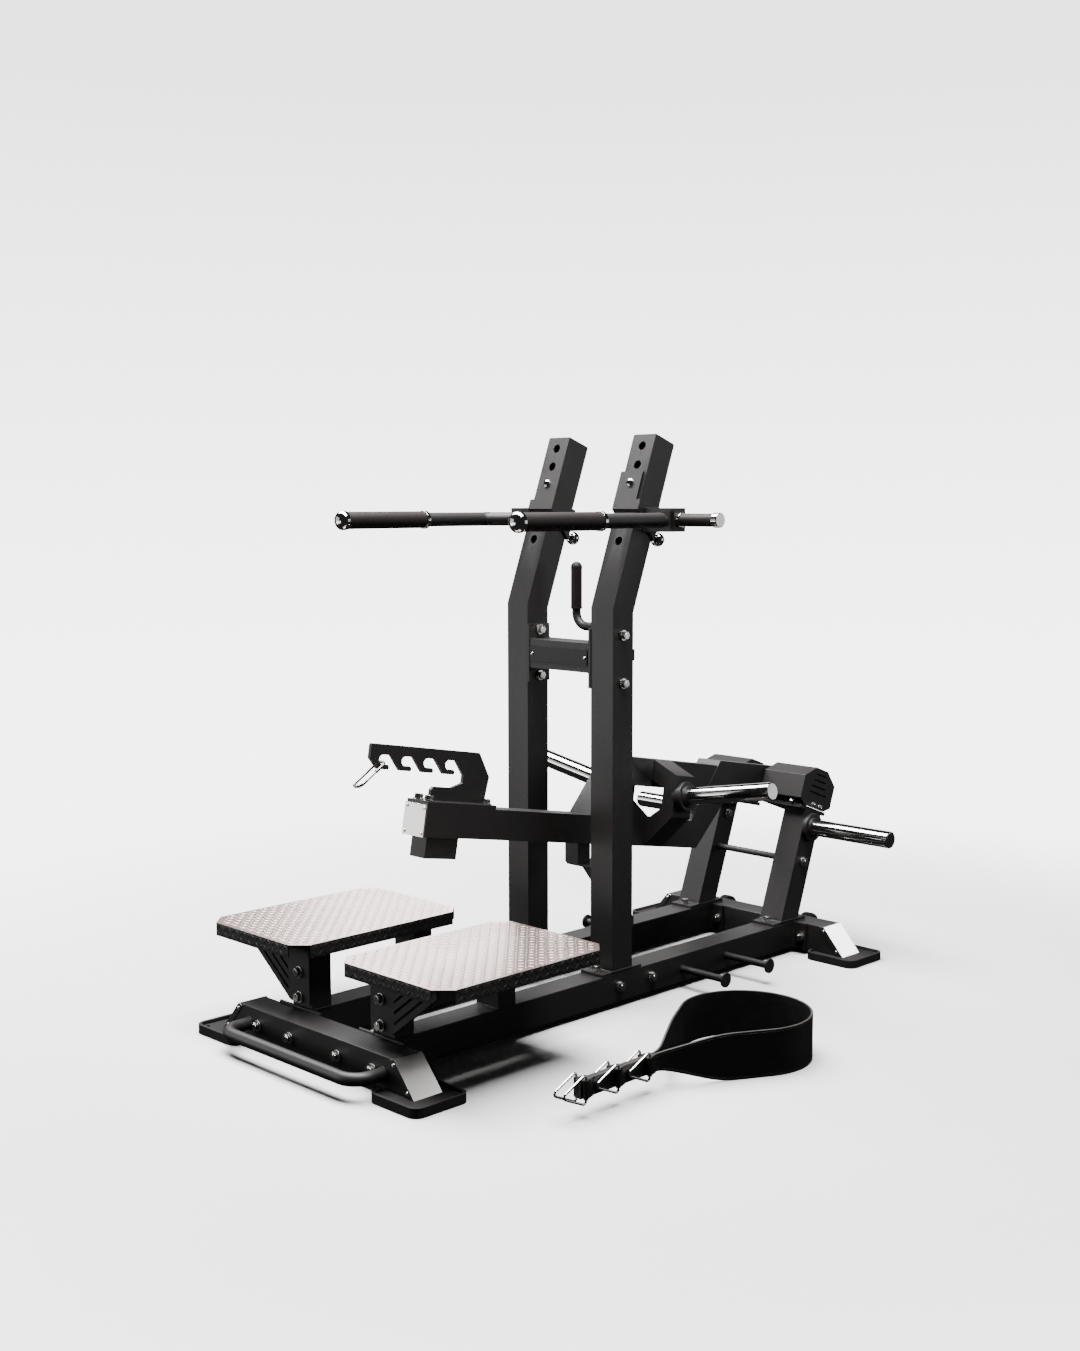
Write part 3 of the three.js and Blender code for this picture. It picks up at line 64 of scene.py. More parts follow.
PEG_PLACES, PEG_HEIGHT, PEG_LENGTH = (1184.0, 1379.0), 54.0, 157.0
WHEEL_Y, WHEEL_HEIGHT, WHEEL_WIDE = REAR_BEAM + TUBE + 41, BEAM_TOP - 40, 32.0
RAIL_BOLTS, RAIL_BOLT_HEIGHT = (922.0, 1052.0), 60.0
UPRIGHT_FRONT = 893.0
UPRIGHT_MIDDLE = UPRIGHT_FRONT + HALF
BEND = 1077.0
LEAN = radians(20)
SLOPE_LENGTH = 487.0
LOWEST_HOLE, HOLE_PITCH, HOLES = 187.0, 53.6, 6
FOOT_BOLT = 59.0
CROSSBAR_MIDDLE, CROSSBAR_HALF, CROSSBAR_BOLT = 941.5, 39.5, 64.0
CROSSBAR_FRONT, CROSSBAR_DEPTH = 893.0, 78.7
PLATE_SCREW = 99.0
POST_FOOT = 1638.0
PIVOT = Vector((0, 1817, 481))
SHAFT_RADIUS, SHAFT_HALF = 19.8, 117.0
BRACE_HEIGHT, BRACE_RADIUS = 273.0, 9.5
HORN_RADIUS, COLLAR_RADIUS, HORN_TIP = 25.0, 43.0, 485.0
DECK_TOP, DECK_THICK, DECK_INNER, DECK_OUTER = 280.0, 5.0, 70.0, 461.0
DECK_FRONT, DECK_REAR, DECK_CHAMFER, SKIRT = 61.0, 607.0, 41.0, 34.0
TEAR_PITCH = 17.0
POSTS = ((139.0, 199.0), (474.0, 534.0))
GUSSET_BOLTS = (124.0, 188.0)
ARM_DEPTH, ARM_HEIGHT, ARM_REACH, ARM_SIDE = 1034.0, 1308.0, 298.0, 62.0
HANDLE_REACH, HANDLE_TIP, GRIP_FRONT, GRIP_REAR, RING = 331.0, 404.0, 429.0, 697.0, 10.0
KNEE = 929.75
SIDE_GRIP, SIDE_GRIP_LENGTH, SIDE_CAP = 316.0, 107.0, 18.0
STUD_PLACE, PIN_PLACE, BARREL_FOOT = 348.0, LOWEST_HOLE + HOLE_PITCH, 85.8
ROD_X, ROD_Y, ROD_RADIUS, ROD_BEND, ROD_FOOT, ROD_TOP = 135.0, 1006.0, 12.0, 38.0, 188.0, 1015.0
RELEASE_X, RELEASE_FOOT, RELEASE_TOP = -42.0, 1062.0, 1192.0
BRACKET_REACH, HORN_HUB, HORN_UP, HORN_REACH, HORN_ALONG = 131.3, -55.0, -1.0, 438.0, -552.5
ARM_LOW, ARM_HIGH, NOSE = -209.0, -130.0, -1430.0
HOOK_BASE_TOP, HOOK_BASE_REAR, HOOK_BOLT = -119.7, -1192.0, 19.0
CLIP = Vector((0, -1561.5, -32.3))
CLIP_HALF, CLIP_LENGTH, CLIP_WIRE, GATE_FOOT, GATE_HEAD = 14.5, 97.0, 4.0, -74.5, -38.5
BELT_X, BELT_Y, BELT_RADIUS, BELT_JOIN, BELT_END = 676.0, 862.0, 160.0, 539.0, 265.0
TAIL_FOOT, TAIL_TOP, BELT_WIDE, BELT_THICK, TAIL_LAYER = 44.0, 86.5, 115.0, 6.0, 2.4
TAIL_MIDDLE = (TAIL_FOOT + TAIL_TOP) / 2
TAIL_GAP, LAYER_END, STITCH_PITCH, STITCH_INSET = 0.3, 520.0, 7.0, 6.0
TAPER = (512.0, 698.0)
RING_FIRST, RING_PITCH, RING_OFF, RING_HALF, RING_REACH = 276.0, 106.0, 14.7, 35.5, 79.0
SIDES = (("left", -1), ("right", 1))
X, Y, Z = (1, 0, 0), (0, 1, 0), (0, 0, 1)
SMOOTH_ANGLE = 40
CAMERA_AT = Vector((3115.6, -2273.4, 1352.1))
YAW, PITCH, ROLL = 45.19, 5.97, -0.10

# The part's origin is the middle of its footprint, so every mesh is moved by the same amount.
LEFT_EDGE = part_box("left_storage_horn")[0].x * 1000 + HORN_TIP
FRONT_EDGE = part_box("front_left_foot_pad")[0].y * 1000
TO_PART = Matrix.Scale(0.001, 4) @ Matrix.Translation((LEFT_EDGE, FRONT_EDGE, 0))


def rotation(degrees, axis):
    return Matrix.Rotation(radians(degrees), 4, axis)


LEVER = Matrix.Translation(PIVOT) @ rotation(-10, "X")
SLOPE = Matrix.Translation((0, UPRIGHT_FRONT, BEND)) @ Matrix.Rotation(-LEAN, 4, "X")
HEAD = Matrix.Translation(PIVOT) @ Matrix.Rotation(-LEAN, 4, "X")


def linked(name, data):
    """A new object in the scene."""
    thing = bpy.data.objects.new(name, data)
    bpy.context.scene.collection.objects.link(thing)
    return thing


# Camera of the photograph
camera = linked("camera", bpy.data.cameras.new("camera"))
camera.data.lens = 43.89
camera.data.sensor_width = 36
camera.data.clip_end = 200
view = rotation(YAW, "Z") @ rotation(90 - PITCH, "X") @ rotation(ROLL, "Z")
camera.matrix_world = Matrix.Translation(TO_PART @ CAMERA_AT) @ view
bpy.context.scene.camera = camera


def srgb(hexcode):
    """An sRGB hex colour as the linear colour that shaders take."""
    parts = [int(hexcode[i:i + 2], 16) / 255 for i in (1, 3, 5)]
    return [c / 12.92 if c <= 0.04045 else ((c + 0.055) / 1.055) ** 2.4 for c in parts] + [1.0]


def add(tree, kind, settings=None, **links):
    """Adds a node. Settings are attributes or socket values, links go to the sockets of those names.

    A socket without a name of its own is given as i and its number.
    """
    node = tree.nodes.new("ShaderNode" + kind)
    for key, value in (settings or {}).items():
        if isinstance(key, int) or key in node.inputs:
            node.inputs[key].default_value = value
        else:
            setattr(node, key, value)
    for key, source in links.items():
        socket = node.inputs[int(key[1:])] if key[1:].isdigit() else node.inputs[key.replace("_", " ")]
        tree.links.new(source, socket)
    return node


SLOTS = {}


def new_material(name, slot=None):
    """A node material, with the slot that its pieces belong to."""
    material = bpy.data.materials.new(name)
    material.use_nodes = True
    SLOTS[material.name] = slot
    tree = material.node_tree
    shader = tree.nodes["Principled BSDF"]
    place = add(tree, "TexCoord").outputs["Object"]
    return material, tree, shader, place


def speckle(tree, place, size_mm, detail=4.0, stretch=None):
    """A noise whose grains are about size_mm across, finer along the axes that stretch names."""
    if stretch:
        place = add(tree, "Mapping", {"Scale": stretch}, Vector=place).outputs[0]
    return add(tree, "TexNoise", {"Scale": 1000 / size_mm, "Detail": detail}, Vector=place).outputs[0]


def ramp(tree, value, dark, light, low=0.3, high=0.7):
    """A colour that runs from dark to light while the value runs from low to high."""
    node = add(tree, "ValToRGB", None, Fac=value)
    first, last = node.color_ramp.elements
    first.position, first.color = low, srgb(dark)
    last.position, last.color = high, srgb(light)
    return node.outputs[0]


def spread(tree, value, low, high):
    return add(tree, "MapRange", {"To Min": low, "To Max": high}, Value=value).outputs[0]


def bump(tree, shader, height, depth_mm, strength=1.0):
    node = add(tree, "Bump", {"Distance": depth_mm / 1000, "Strength": strength}, Height=height)
    tree.links.new(node.outputs[0], shader.inputs["Normal"])


def multiplied(tree, amount, first, second):
    """One colour multiplied by another, by a given amount."""
    settings = {"data_type": "RGBA", "blend_type": "MULTIPLY", 0: amount}
    return add(tree, "Mix", settings, i6=first, i7=second).outputs[2]


def wire_up(tree, shader, tone, roughness, metal=0.0, ior=1.5, gloss=0.5):
    tree.links.new(tone, shader.inputs["Base Color"])
    tree.links.new(roughness, shader.inputs["Roughness"])
    shader.inputs["Metallic"].default_value = metal
    shader.inputs["IOR"].default_value = ior
    shader.inputs["Specular IOR Level"].default_value = gloss


def surface(name, slot, tones, rough, grain, relief=None, cloud=None, stretch=None, **constants):
    """A material whose roughness and relief follow a grain, and its tones a cloud or else the grain.

    Grain and cloud are (size in mm, detail), relief is (depth in mm, strength).
    """
    material, tree, shader, place = new_material(name, slot)
    fine = speckle(tree, place, *grain, stretch)
    broad = speckle(tree, place, *cloud) if cloud else fine
    wire_up(tree, shader, ramp(tree, broad, *tones), spread(tree, fine, *rough), **constants)
    if relief:
        bump(tree, shader, fine, *relief)
    return material


# Polyester powder coat, baked on steel: warm black with a fine sandy texture that glints on the edges.
coat = surface("powder_coated_steel", "black_powder_coat", ("#171515", "#1c1a19"), (0.40, 0.60), (1.7, 5),
               (0.16, 0.6), (160, 3))

# Hard chrome over ground steel: mirror bright, with faint polishing haze round the bar.
chrome = surface("hard_chromed_steel", "chromed_steel", ("#c4c3c2", "#d2d1cf"), (0.06, 0.13), (30, 3),
                 metal=1)

# Stainless sheet, brushed one way: satin, with short hair lines about 0.4 mm apart.
brushed = surface("brushed_stainless_sheet", "brushed_plate", ("#bdbbb9", "#d6d4d2"), (0.24, 0.38), (6, 3),
                  (0.03, 0.4), stretch=(1, 16, 16), metal=1)

# Zinc plated fasteners: bright, slightly cloudy.
zinc = surface("zinc_plated_fastener", "plated_wire", ("#c6c6c3", "#e2e2df"), (0.14, 0.28), (5, 3), metal=1)

# Drawn steel wire of the belt's rings, nickel plated: bright, with soft cloudy reflections.
wire = surface("nickel_plated_wire", "plated_wire", ("#cdccca", "#e0dfdd"), (0.1, 0.2), (8, 2), metal=1)

# Drop-forged carabiner steel under a smoky nickel: darker than the rings.
smoky = surface("smoky_nickel_plated_steel", "plated_wire", ("#7d7b79", "#949290"), (0.12, 0.22), (8, 2),
                metal=1)

# Moulded rubber feet and tyres: dead matt with a dusty bloom.
rubber = surface("moulded_rubber", "moulded_rubber", ("#1b1919", "#232121"), (0.55, 0.75), (1.6, 5),
                 (0.1, 0.5), (45, 3), ior=1.52, gloss=0.25)

# The floor plate's folded skirt, powder coated black over the raised tears: a little glossier than the frame.
skirt_coat = surface("powder_coated_floor_plate", "checker_plate", ("#1f1e1d", "#292726"), (0.30, 0.46),
                     (1.8, 5), (0.1, 0.5))

# Cut edge of the leather, sanded and painted grey.
edge_paint = surface("painted_leather_edge", "belt_leather", ("#242120", "#373230"), (0.5, 0.65), (9, 4),
                     (0.2, 0.5))

# Waxed nylon thread: twisted, a little lighter than the leather.
thread = surface("waxed_nylon_thread", "belt_leather", ("#171514", "#2c2826"), (0.5, 0.7), (1.2, 2),
                 (0.2, 0.6))

# Anodised aluminium plate, satin black and bare, with faint lines along it.
anodised = surface("black_anodised_aluminium", "label_plate", ("#141414", "#1a1a1a"), (0.32, 0.46), (8, 3),
                   stretch=(1, 1, 14), metal=0.6)

# Sand-cast iron under paint: the bearing housings, rough and semi-matt.
casting = surface("painted_iron_casting", "cast_housing", ("#262626", "#313130"), (0.5, 0.7), (3.5, 6),
                  (0.5, 0.7))

# Ground steel of the pivot shaft: fine rings left by the wheel.
ground = surface("ground_steel_shaft", "ground_shaft", ("#b4b3b1", "#cbcac8"), (0.18, 0.3), (5, 3),
                 stretch=(12, 1, 1), metal=1)

# Injection-moulded polyethylene caps and bushes: dull black with a faint mould texture.
plastic = surface("moulded_polyethylene", "black_powder_coat", ("#181717", "#1f1e1e"), (0.4, 0.52), (2.5, 4),
                  (0.08, 0.5))

# Numerals stamped into the uprights, darker than the coat: painted shade, for the shadow that they hold.
stamp = surface("stamped_numeral", "black_powder_coat", ("#050505", "#0a0a0a"), (0.7, 0.9), (2.0, 3))

# Grip sleeves of moulded rubber: brown-black, smooth and satin, with a fine close grain.
grip, tree, shader, place = new_material("moulded_grip_rubber", "grip_rubber")
cells = add(tree, "TexVoronoi", {"Scale": 1000 / 1.2}, Vector=place).outputs["Distance"]
cloud = speckle(tree, place, 28, 3)
tone = ramp(tree, cloud, "#1a1514", "#1f1918")
wire_up(tree, shader, tone, spread(tree, cells, 0.50, 0.62), gloss=0.25)
bump(tree, shader, cells, 0.05, 0.4)

# Non-slip deck: floor plate sprayed with a pale metallic gritty coat that mirrors the room softly.
# The real grit is about 0.6 mm across, drawn at 1.6 mm so that it shows. The raised tears are worn
# pale, and the darker ring round their feet is painted shade.
grit, tree, shader, place = new_material("gritty_deck_coat", "checker_plate")
grain = speckle(tree, place, 1.6, 4)
cloud = speckle(tree, place, 90, 4)
sprayed = multiplied(tree, 0.6, ramp(tree, cloud, "#c4b1ae", "#cfbcb9", 0.25, 0.75),
                     ramp(tree, grain, "#c2bab8", "#ffffff", 0.34, 0.60))
level = add(tree, "SeparateXYZ", None, Vector=place).outputs[2]
tear_height = {"From Min": (DECK_TOP - 0.2) / 1000, "From Max": (DECK_TOP + 1.2) / 1000}
rise = add(tree, "MapRange", tear_height, Value=level).outputs[0]
wear_and_foot_shade = ramp(tree, rise, "#e4e0de", "#ffffff", 0.15, 0.75)
# Painted shade: a dark stop just above the plate darkens the foot of each tear.
painted_foot_shade = wear_and_foot_shade.node.color_ramp.elements.new(0.24)
painted_foot_shade.color = srgb("#a59c99")
wire_up(tree, shader, multiplied(tree, 1.0, sprayed, wear_and_foot_shade), spread(tree, grain, 0.25, 0.40), metal=0.9)
bump(tree, shader, grain, 0.1, 0.4)

# Belt leather, dyed black and waxed: pebbles of about 2.4 mm between long soft creases.
leather, tree, shader, place = new_material("waxed_black_leather", "belt_leather")
pebbles = {"Scale": 1000 / 2.4, "feature": "SMOOTH_F1"}
pebble = add(tree, "TexVoronoi", pebbles, Vector=place).outputs["Distance"]
crease = speckle(tree, place, 26, 6, (1, 1, 2.2))
cloud = speckle(tree, place, 70, 4)
tone = ramp(tree, cloud, "#060505", "#0c0b0b", high=0.72)
wire_up(tree, shader, tone, spread(tree, crease, 0.38, 0.66), ior=1.48)
height = add(tree, "Math", {"operation": "MULTIPLY_ADD", 1: 0.35}, i0=crease, i2=pebble).outputs[0]
bump(tree, shader, height, 0.4, 0.6)


def shade(bm):
    """Corner normals weighed by area, so that broad faces stay flat and only narrow ones turn the light."""
    bm.normal_update()
    limit = cos(radians(SMOOTH_ANGLE))
    area = {face: face.calc_area() for face in bm.faces}
    normals = []
    for face in bm.faces:
        for loop in face.loops:
            total = Vector()
            for other in loop.vert.link_faces:
                if other.normal.dot(face.normal) > limit:
                    total += other.normal * area[other]
            normals.append(total.normalized() if total.length > 0 else face.normal.copy())
    return normals


def mirror(bm):
    bm.transform(Matrix.Scale(-1, 4, X))
    ops.reverse_faces(bm, faces=bm.faces)


def built(bm, name, *materials):
    """Turns a bmesh into an object with smooth faces."""
    mesh = bpy.data.meshes.new(name)
    bm.to_mesh(mesh)
    bm.free()
    for item in materials:
        mesh.materials.append(item)
    mesh.polygons.foreach_set("use_smooth", [True] * len(mesh.polygons))
    return linked(name, mesh)


def finish(bm, name, material, replaces=(), body="frame", place=None, side=1, slot=None):
    """Turns a bmesh in machine millimetres into a finished object that rides on a body.

    On the left side, -1, it is mirrored. Its slot, or else that of its first material, is worked out but not
    used.
    """
    if place is not None:
        bm.transform(place)
    if side < 0:
        mirror(bm)
    normals = shade(bm)
    bm.transform(TO_PART)
    materials = material if isinstance(material, list) else [material]
    thing = built(bm, name, *materials)
    thing.data.normals_split_custom_set(normals)
    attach(thing, body)
    if replaces:
        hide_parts(*replaces)
    slot = slot or SLOTS[materials[0].name]


def merge(target, source):
    mesh = bpy.data.meshes.new("piece")
    source.to_mesh(mesh)
    source.free()
    target.from_mesh(mesh)
    bpy.data.meshes.remove(mesh)


def gathered(*pieces):
    whole = bmesh.new()
    for piece in pieces:
        merge(whole, piece)
    return whole


def scattered(piece, places):
    """Copies of a piece at every placement, as one bmesh."""
    pattern = bpy.data.meshes.new("pattern")
    piece.to_mesh(pattern)
    piece.free()
    whole = bmesh.new()
    for place in places:
        copy = pattern.copy()
        copy.transform(place)
        whole.from_mesh(copy)
        bpy.data.meshes.remove(copy)
    bpy.data.meshes.remove(pattern)
    return whole


def bevel(bm, edges, radius, segments):
    ops.bevel(bm, geom=edges, offset=radius, offset_type="OFFSET", segments=segments, profile=0.5,
              affect="EDGES", material=-1, clamp_overlap=True)


def round_edges(bm, radius, segments=2, angle=40, length=0.0):
    """Rounds the edges that turn by more than an angle and are longer than a length."""
    limit = radians(angle)
    edges = [e for e in bm.edges
             if e.is_manifold and e.calc_face_angle(0) > limit and e.calc_length() > length]
    if edges and radius:
        bevel(bm, edges, radius, segments)
    return bm


def paint(bm, second):
    """Gives the faces that a test picks the second material, and all others the first."""
    bm.normal_update()
    for face in bm.faces:
        face.material_index = 1 if second(face) else 0


def block(x0, x1, y0, y1, z0, z1, radius=0.0, segments=2):
    bm = bmesh.new()
    ops.create_cube(bm, size=1)
    ops.scale(bm, vec=(x1 - x0, y1 - y0, z1 - z0), verts=bm.verts)
    ops.translate(bm, vec=((x0 + x1) / 2, (y0 + y1) / 2, (z0 + z1) / 2), verts=bm.verts)
    return round_edges(bm, radius, segments)


def slab(outline, low, high, radius=0.0, segments=2):
    """A flat (x, y) outline raised from low to high."""
    bm = bmesh.new()
    face = bm.faces.new([bm.verts.new((x, y, low)) for x, y in outline])
    made = ops.extrude_face_region(bm, geom=[face])["geom"]
    raised = [v for v in made if isinstance(v, bmesh.types.BMVert)]
    ops.translate(bm, vec=(0, 0, high - low), verts=raised)
    ops.recalc_face_normals(bm, faces=bm.faces)
    return round_edges(bm, radius, segments)


def towards(at, direction):
    """The placement that carries +Z onto a direction and the origin onto a point."""
    turn = Vector(Z).rotation_difference(Vector(direction).normalized()).to_matrix().to_4x4()
    return Matrix.Translation(at) @ turn


def lathe(profile, at=(0, 0, 0), direction=Z, steps=40):
    """A turned piece: (radius, height) pairs spun round the axis through a point."""
    bm = bmesh.new()
    verts = [bm.verts.new((r, 0, h)) for r, h in profile]
    edges = [bm.edges.new(pair) for pair in zip(verts, verts[1:])]
    ops.spin(bm, geom=verts + edges, cent=(0, 0, 0), axis=Z, angle=2 * pi, steps=steps, use_merge=True)
    ops.remove_doubles(bm, verts=bm.verts, dist=0.002)
    ops.recalc_face_normals(bm, faces=bm.faces)
    bm.transform(towards(at, direction))
    return bm


def rounded(radius, start, end, edge=1.2, steps=3):
    """The profile of a disc or bar from start to end whose two rims are rounded."""
    turns = [pi / 2 * i / steps for i in range(steps + 1)]
    low = [(radius - edge + edge * sin(a), start + edge - edge * cos(a)) for a in turns]
    high = [(r, start + end - h) for r, h in reversed(low)]
    return [(0, start)] + low + high + [(0, end)]


def dome(radius, base, rise, steps=9):
    """The profile of a rounded end that rises from a base, from its rim to its tip."""
    turns = [pi / 2 * i / steps for i in range(steps + 1)]
    return [(radius * cos(a), base + rise * sin(a)) for a in turns[:-1]] + [(0, base + rise)]


def tube(bore, rim, outer, length, lip, gap=0.4):
    """The profile of a tube whose ends, a gap short of its length, are turned down to a rim over a lip."""
    return [(bore, gap), (rim, gap), (outer, lip), (outer, length - lip), (rim, length - gap),
            (bore, length - gap), (bore, gap)]


def arc_path(points, radius, steps=8):
    """Straight runs with a round bend at each inner point."""
    corners = [Vector(p) for p in points]
    path = [corners[0]]
    for before, corner, after in zip(corners, corners[1:], corners[2:]):
        back, ahead = (before - corner).normalized(), (after - corner).normalized()
        half = back.angle(ahead) / 2
        centre = corner + (back + ahead).normalized() * (radius / sin(half))
        arm = corner + back * (radius / tan(half)) - centre
        axis = back.cross(ahead).normalized()
        for i in range(steps + 1):
            path.append(centre + Matrix.Rotation((2 * half - pi) * i / steps, 3, axis) @ arm)
    return path + [corners[-1]]


def swept(section, places, closed=False):
    """A closed section extruded from placement to placement, with its ends filled or joined."""
    bm = bmesh.new()
    ring = [bm.verts.new(places[0] @ Vector(p)) for p in section]
    edges = [bm.edges.new((a, b)) for a, b in zip(ring, ring[1:] + ring[:1])]
    first = list(edges)
    for before, after in zip(places, places[1:]):
        made = ops.extrude_edge_only(bm, edges=edges)["geom"]
        fresh = {v for v in made if isinstance(v, bmesh.types.BMVert)}
        edges = [e for e in made if isinstance(e, bmesh.types.BMEdge) and set(e.verts) <= fresh]
        ops.transform(bm, matrix=after @ before.inverted(), verts=list(fresh))
    if closed:
        ops.bridge_loops(bm, edges=first + edges)
    else:
        ops.edgeloop_fill(bm, edges=first)
        ops.edgeloop_fill(bm, edges=edges)
    ops.recalc_face_normals(bm, faces=bm.faces)
    return bm


def piped(path, radius, facets=16, closed=False):
    """A round bar along a path. The radius is a number, or a function of the step."""
    path = [Vector(p) for p in path]
    count = len(path)
    places = []
    turn = None
    for i, at in enumerate(path):
        after = path[(i + 1) % count] if closed else path[min(i + 1, count - 1)]
        before = path[i - 1] if closed else path[max(i - 1, 0)]
        tangent = (after - before).normalized()
        if turn is None:
            turn = Vector(Z).rotation_difference(tangent)
        else:
            turn = (turn @ Vector(Z)).rotation_difference(tangent) @ turn
        size = radius(i) if callable(radius) else radius
        places.append(Matrix.Translation(at) @ turn.to_matrix().to_4x4() @ Matrix.Scale(size, 4))
    around = [2 * pi * i / facets for i in range(facets)]
    return swept([(cos(a), sin(a), 0) for a in around], places, closed)


def bead(corners, radius=2.4, closed=True, pitch=3.2):
    """A weld bead with its scales along straight runs between corners."""
    path = []
    ends = corners[1:] + corners[:1] if closed else corners[1:]
    for a, b in zip(corners, ends):
        a, b = Vector(a), Vector(b)
        steps = max(1, round((b - a).length / pitch))
        path += [a.lerp(b, i / steps) for i in range(steps)]
    if not closed:
        path.append(Vector(corners[-1]))
    return piped(path, lambda i: radius * (0.86 + 0.2 * (i % 2)), 7, closed)


def round_bead(at, direction, radius, size=2.0):
    """A weld bead round a bar that meets a face."""
    count = max(14, round(2 * pi * radius / 3.2))
    turn = [2 * pi * i / count for i in range(count)]
    place = towards(at, direction)
    path = [place @ Vector((radius * cos(a), radius * sin(a), 0)) for a in turn]
    return piped(path, lambda i: size * (0.86 + 0.2 * (i % 2)), 7, True)


def square(axis, at, a0, a1, b0, b1):
    """Corners of a rectangle that lies across an axis."""
    order = [(a0, b0), (a1, b0), (a1, b1), (a0, b1)]
    return [{"x": (at, a, b), "y": (a, at, b), "z": (a, b, at)}[axis] for a, b in order]


def hex_bolt(across=20.0, top=14.4, washer=29.0, washer_thick=3.6):
    """Hexagon head with a chamfered crown on a round washer, standing on the origin."""
    corner = across / sqrt(3)
    head = bmesh.new()
    ops.create_cone(head, cap_ends=True, cap_tris=False, segments=6, radius1=corner, radius2=corner,
                    depth=top)
    ops.translate(head, vec=(0, 0, top / 2), verts=head.verts)
    rim = [e for e in head.edges if min(v.co.z for v in e.verts) > top - 1]
    bevel(head, rim, 1.1, 2)
    crown = lathe([(0, top - 0.2), (across * 0.36, top - 0.2), (across * 0.34, top + 0.5), (0, top + 0.6)],
                  steps=20)
    return gathered(lathe(rounded(washer / 2, 0, washer_thick, 0.7, 2), steps=28), head, crown)


def button_screw(radius=5.0, rise=3.6):
    """Low domed screw head with a shallow socket, standing on the origin."""
    rim = [(radius * cos(a), rise * sin(a)) for a in (0, 0.3, 0.6, 0.9, 1.15)]
    socket = [(radius * 0.36, rim[-1][1]), (radius * 0.32, 3.15), (0, 3.15)]
    return lathe([(0, 0)] + rim + socket, steps=20)


def placed(piece, spots):
    """Copies of a fastener that stand on (point, direction) spots."""
    return scattered(piece, [towards(at, out) for at, out in spots])


def cad_copy(node):
    """The merged outline of a CAD node in machine millimetres, to be given its real edges."""
    bm = bmesh.new()
    bm.from_mesh(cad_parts[node].data)
    bm.transform(TO_PART.inverted())
    ops.remove_doubles(bm, verts=bm.verts, dist=0.01)
    ops.dissolve_limit(bm, angle_limit=radians(0.6), verts=bm.verts, edges=bm.edges)
    return bm


def dressed(node, radius, segments=2, length=24.0, body="frame", material=coat):
    """A CAD node's own form with its folded, rolled or ground edges."""
    bm = round_edges(cad_copy(node), radius, segments, 40, length)
    finish(bm, node + "_finished", material, (node,), body)


# Base: crossmembers, covers, pads and rails

def end_cover(node):
    """A sheet cover: bright on its face, its front and rear lips given the frame's black coat."""
    bm = round_edges(cad_copy(node), 1.4, 3, 40, 6.0)
    paint(bm, lambda face: abs(face.normal.y) > 0.95)
    finish(bm, node + "_sheet", [brushed, coat], (node,))


for end in ("front", "rear"):
    for name, side in SIDES:
        dressed(f"{end}_{name}_foot_pad", 2.2, 3, 3.0, material=rubber)
        end_cover(f"{end}_{name}_end_cover")
    dressed(f"{end}_crossmember", 5.0, 4, 40.0)

for name, side in SIDES:
    for part, length in (("rail", 70.0), ("upright", 60.0), ("rear_post", 60.0)):
        dressed(f"{name}_{part}", 5.0, 4, length)
    dressed(f"{name}_platform_support", 4.0, 3, 38.0)
    dressed(f"{name}_platform_gusset", 1.0)
    dressed(f"{name}_bearing_guard", 2.0, 3, 28.0)
    dressed(f"{name}_pivot_bearing", 2.0, 2, 20.0, material=casting)
    dressed(f"{name}_handle_carriage", 2.0, 3, 28.0, f"{name}_carriage")
dressed("crossbar", 4.0, 3, 49.0)
dressed("blank_plate", 0.8, 2, 30.0, material=anodised)
dressed("lever_frame", 4.0, 4, 40.0, "lever")

# Hook plate, its outer corners cut round before its edges are broken
hook = cad_copy("hook_plate")
corners = [e for e in hook.edges if e.is_manifold and abs(e.verts[0].co.x - e.verts[1].co.x) > 9
           and e.calc_length() < 11 and e.calc_face_angle(0) > radians(50)]
bevel(hook, corners, 4.0, 4)
finish(round_edges(hook, 0.8, 2, 60, 6.0), "hook_plate_finished", coat, ("hook_plate",), "lever")
dressed("lever_end_plate", 1.2, 3, 40.0, "lever", brushed)
dressed("catch_arm", 1.2, body="release")

# Carry handle
root, grasp = FRONT_BEAM + 2, FRONT_BEAM - CARRY_OUT
corners = ((-CARRY_REACH, root), (-CARRY_REACH, grasp), (CARRY_REACH, grasp), (CARRY_REACH, root))
path = arc_path([(x, y, CARRY_HEIGHT) for x, y in corners], CARRY_BEND, 12)
finish(piped(path, CARRY_RADIUS, 28), "carry_handle_tube", coat, ("carry_handle",))

# Storage pegs with end discs, caps of the uprights, transport wheels
disc_start, disc_end = PEG_LENGTH - 5.6, PEG_LENGTH + 0.6
for name, side in SIDES:
    feet = [(RAIL_OUTER, y, PEG_HEIGHT) for y in PEG_PLACES]
    pegs = [lathe(rounded(10.0, 0, PEG_LENGTH - 4, 0.5), foot, X, 24) for foot in feet]
    discs = [lathe(rounded(21.0, disc_start, disc_end, 1.4), foot, X, 36) for foot in feet]
    finish(gathered(*pegs, *discs), f"{name}_storage_pegs", coat, side=side)
    cap = block(RAIL_INNER + 1, RAIL_OUTER - 1, 1, TUBE - 1, SLOPE_LENGTH - 4, SLOPE_LENGTH + 2.5, 2.2, 3)
    finish(cap, f"{name}_upright_cap", plastic, place=SLOPE, side=side)
    half = WHEEL_WIDE / 2
    tread = [(26, 13), (28, half), (34, half), (37, 13.5), (38, 8)]
    tyre = [(13, -13)] + [(r, -h) for r, h in tread] + tread[::-1] + [(13, 13), (13, -13)]
    hub = [(6.4, -15), (13.2, -15), (13.2, 15), (6.4, 15), (6.4, -15)]
    at = (RAIL, WHEEL_Y, WHEEL_HEIGHT)
    finish(lathe(tyre, at, X, 48), f"{name}_wheel_tyre", rubber, (f"{name}_transport_wheel",),
           f"{name}_wheel", side=side)
    finish(lathe(hub, at, X, 32), f"{name}_wheel_hub", plastic, (), f"{name}_wheel", side=side,
           slot="moulded_rubber")

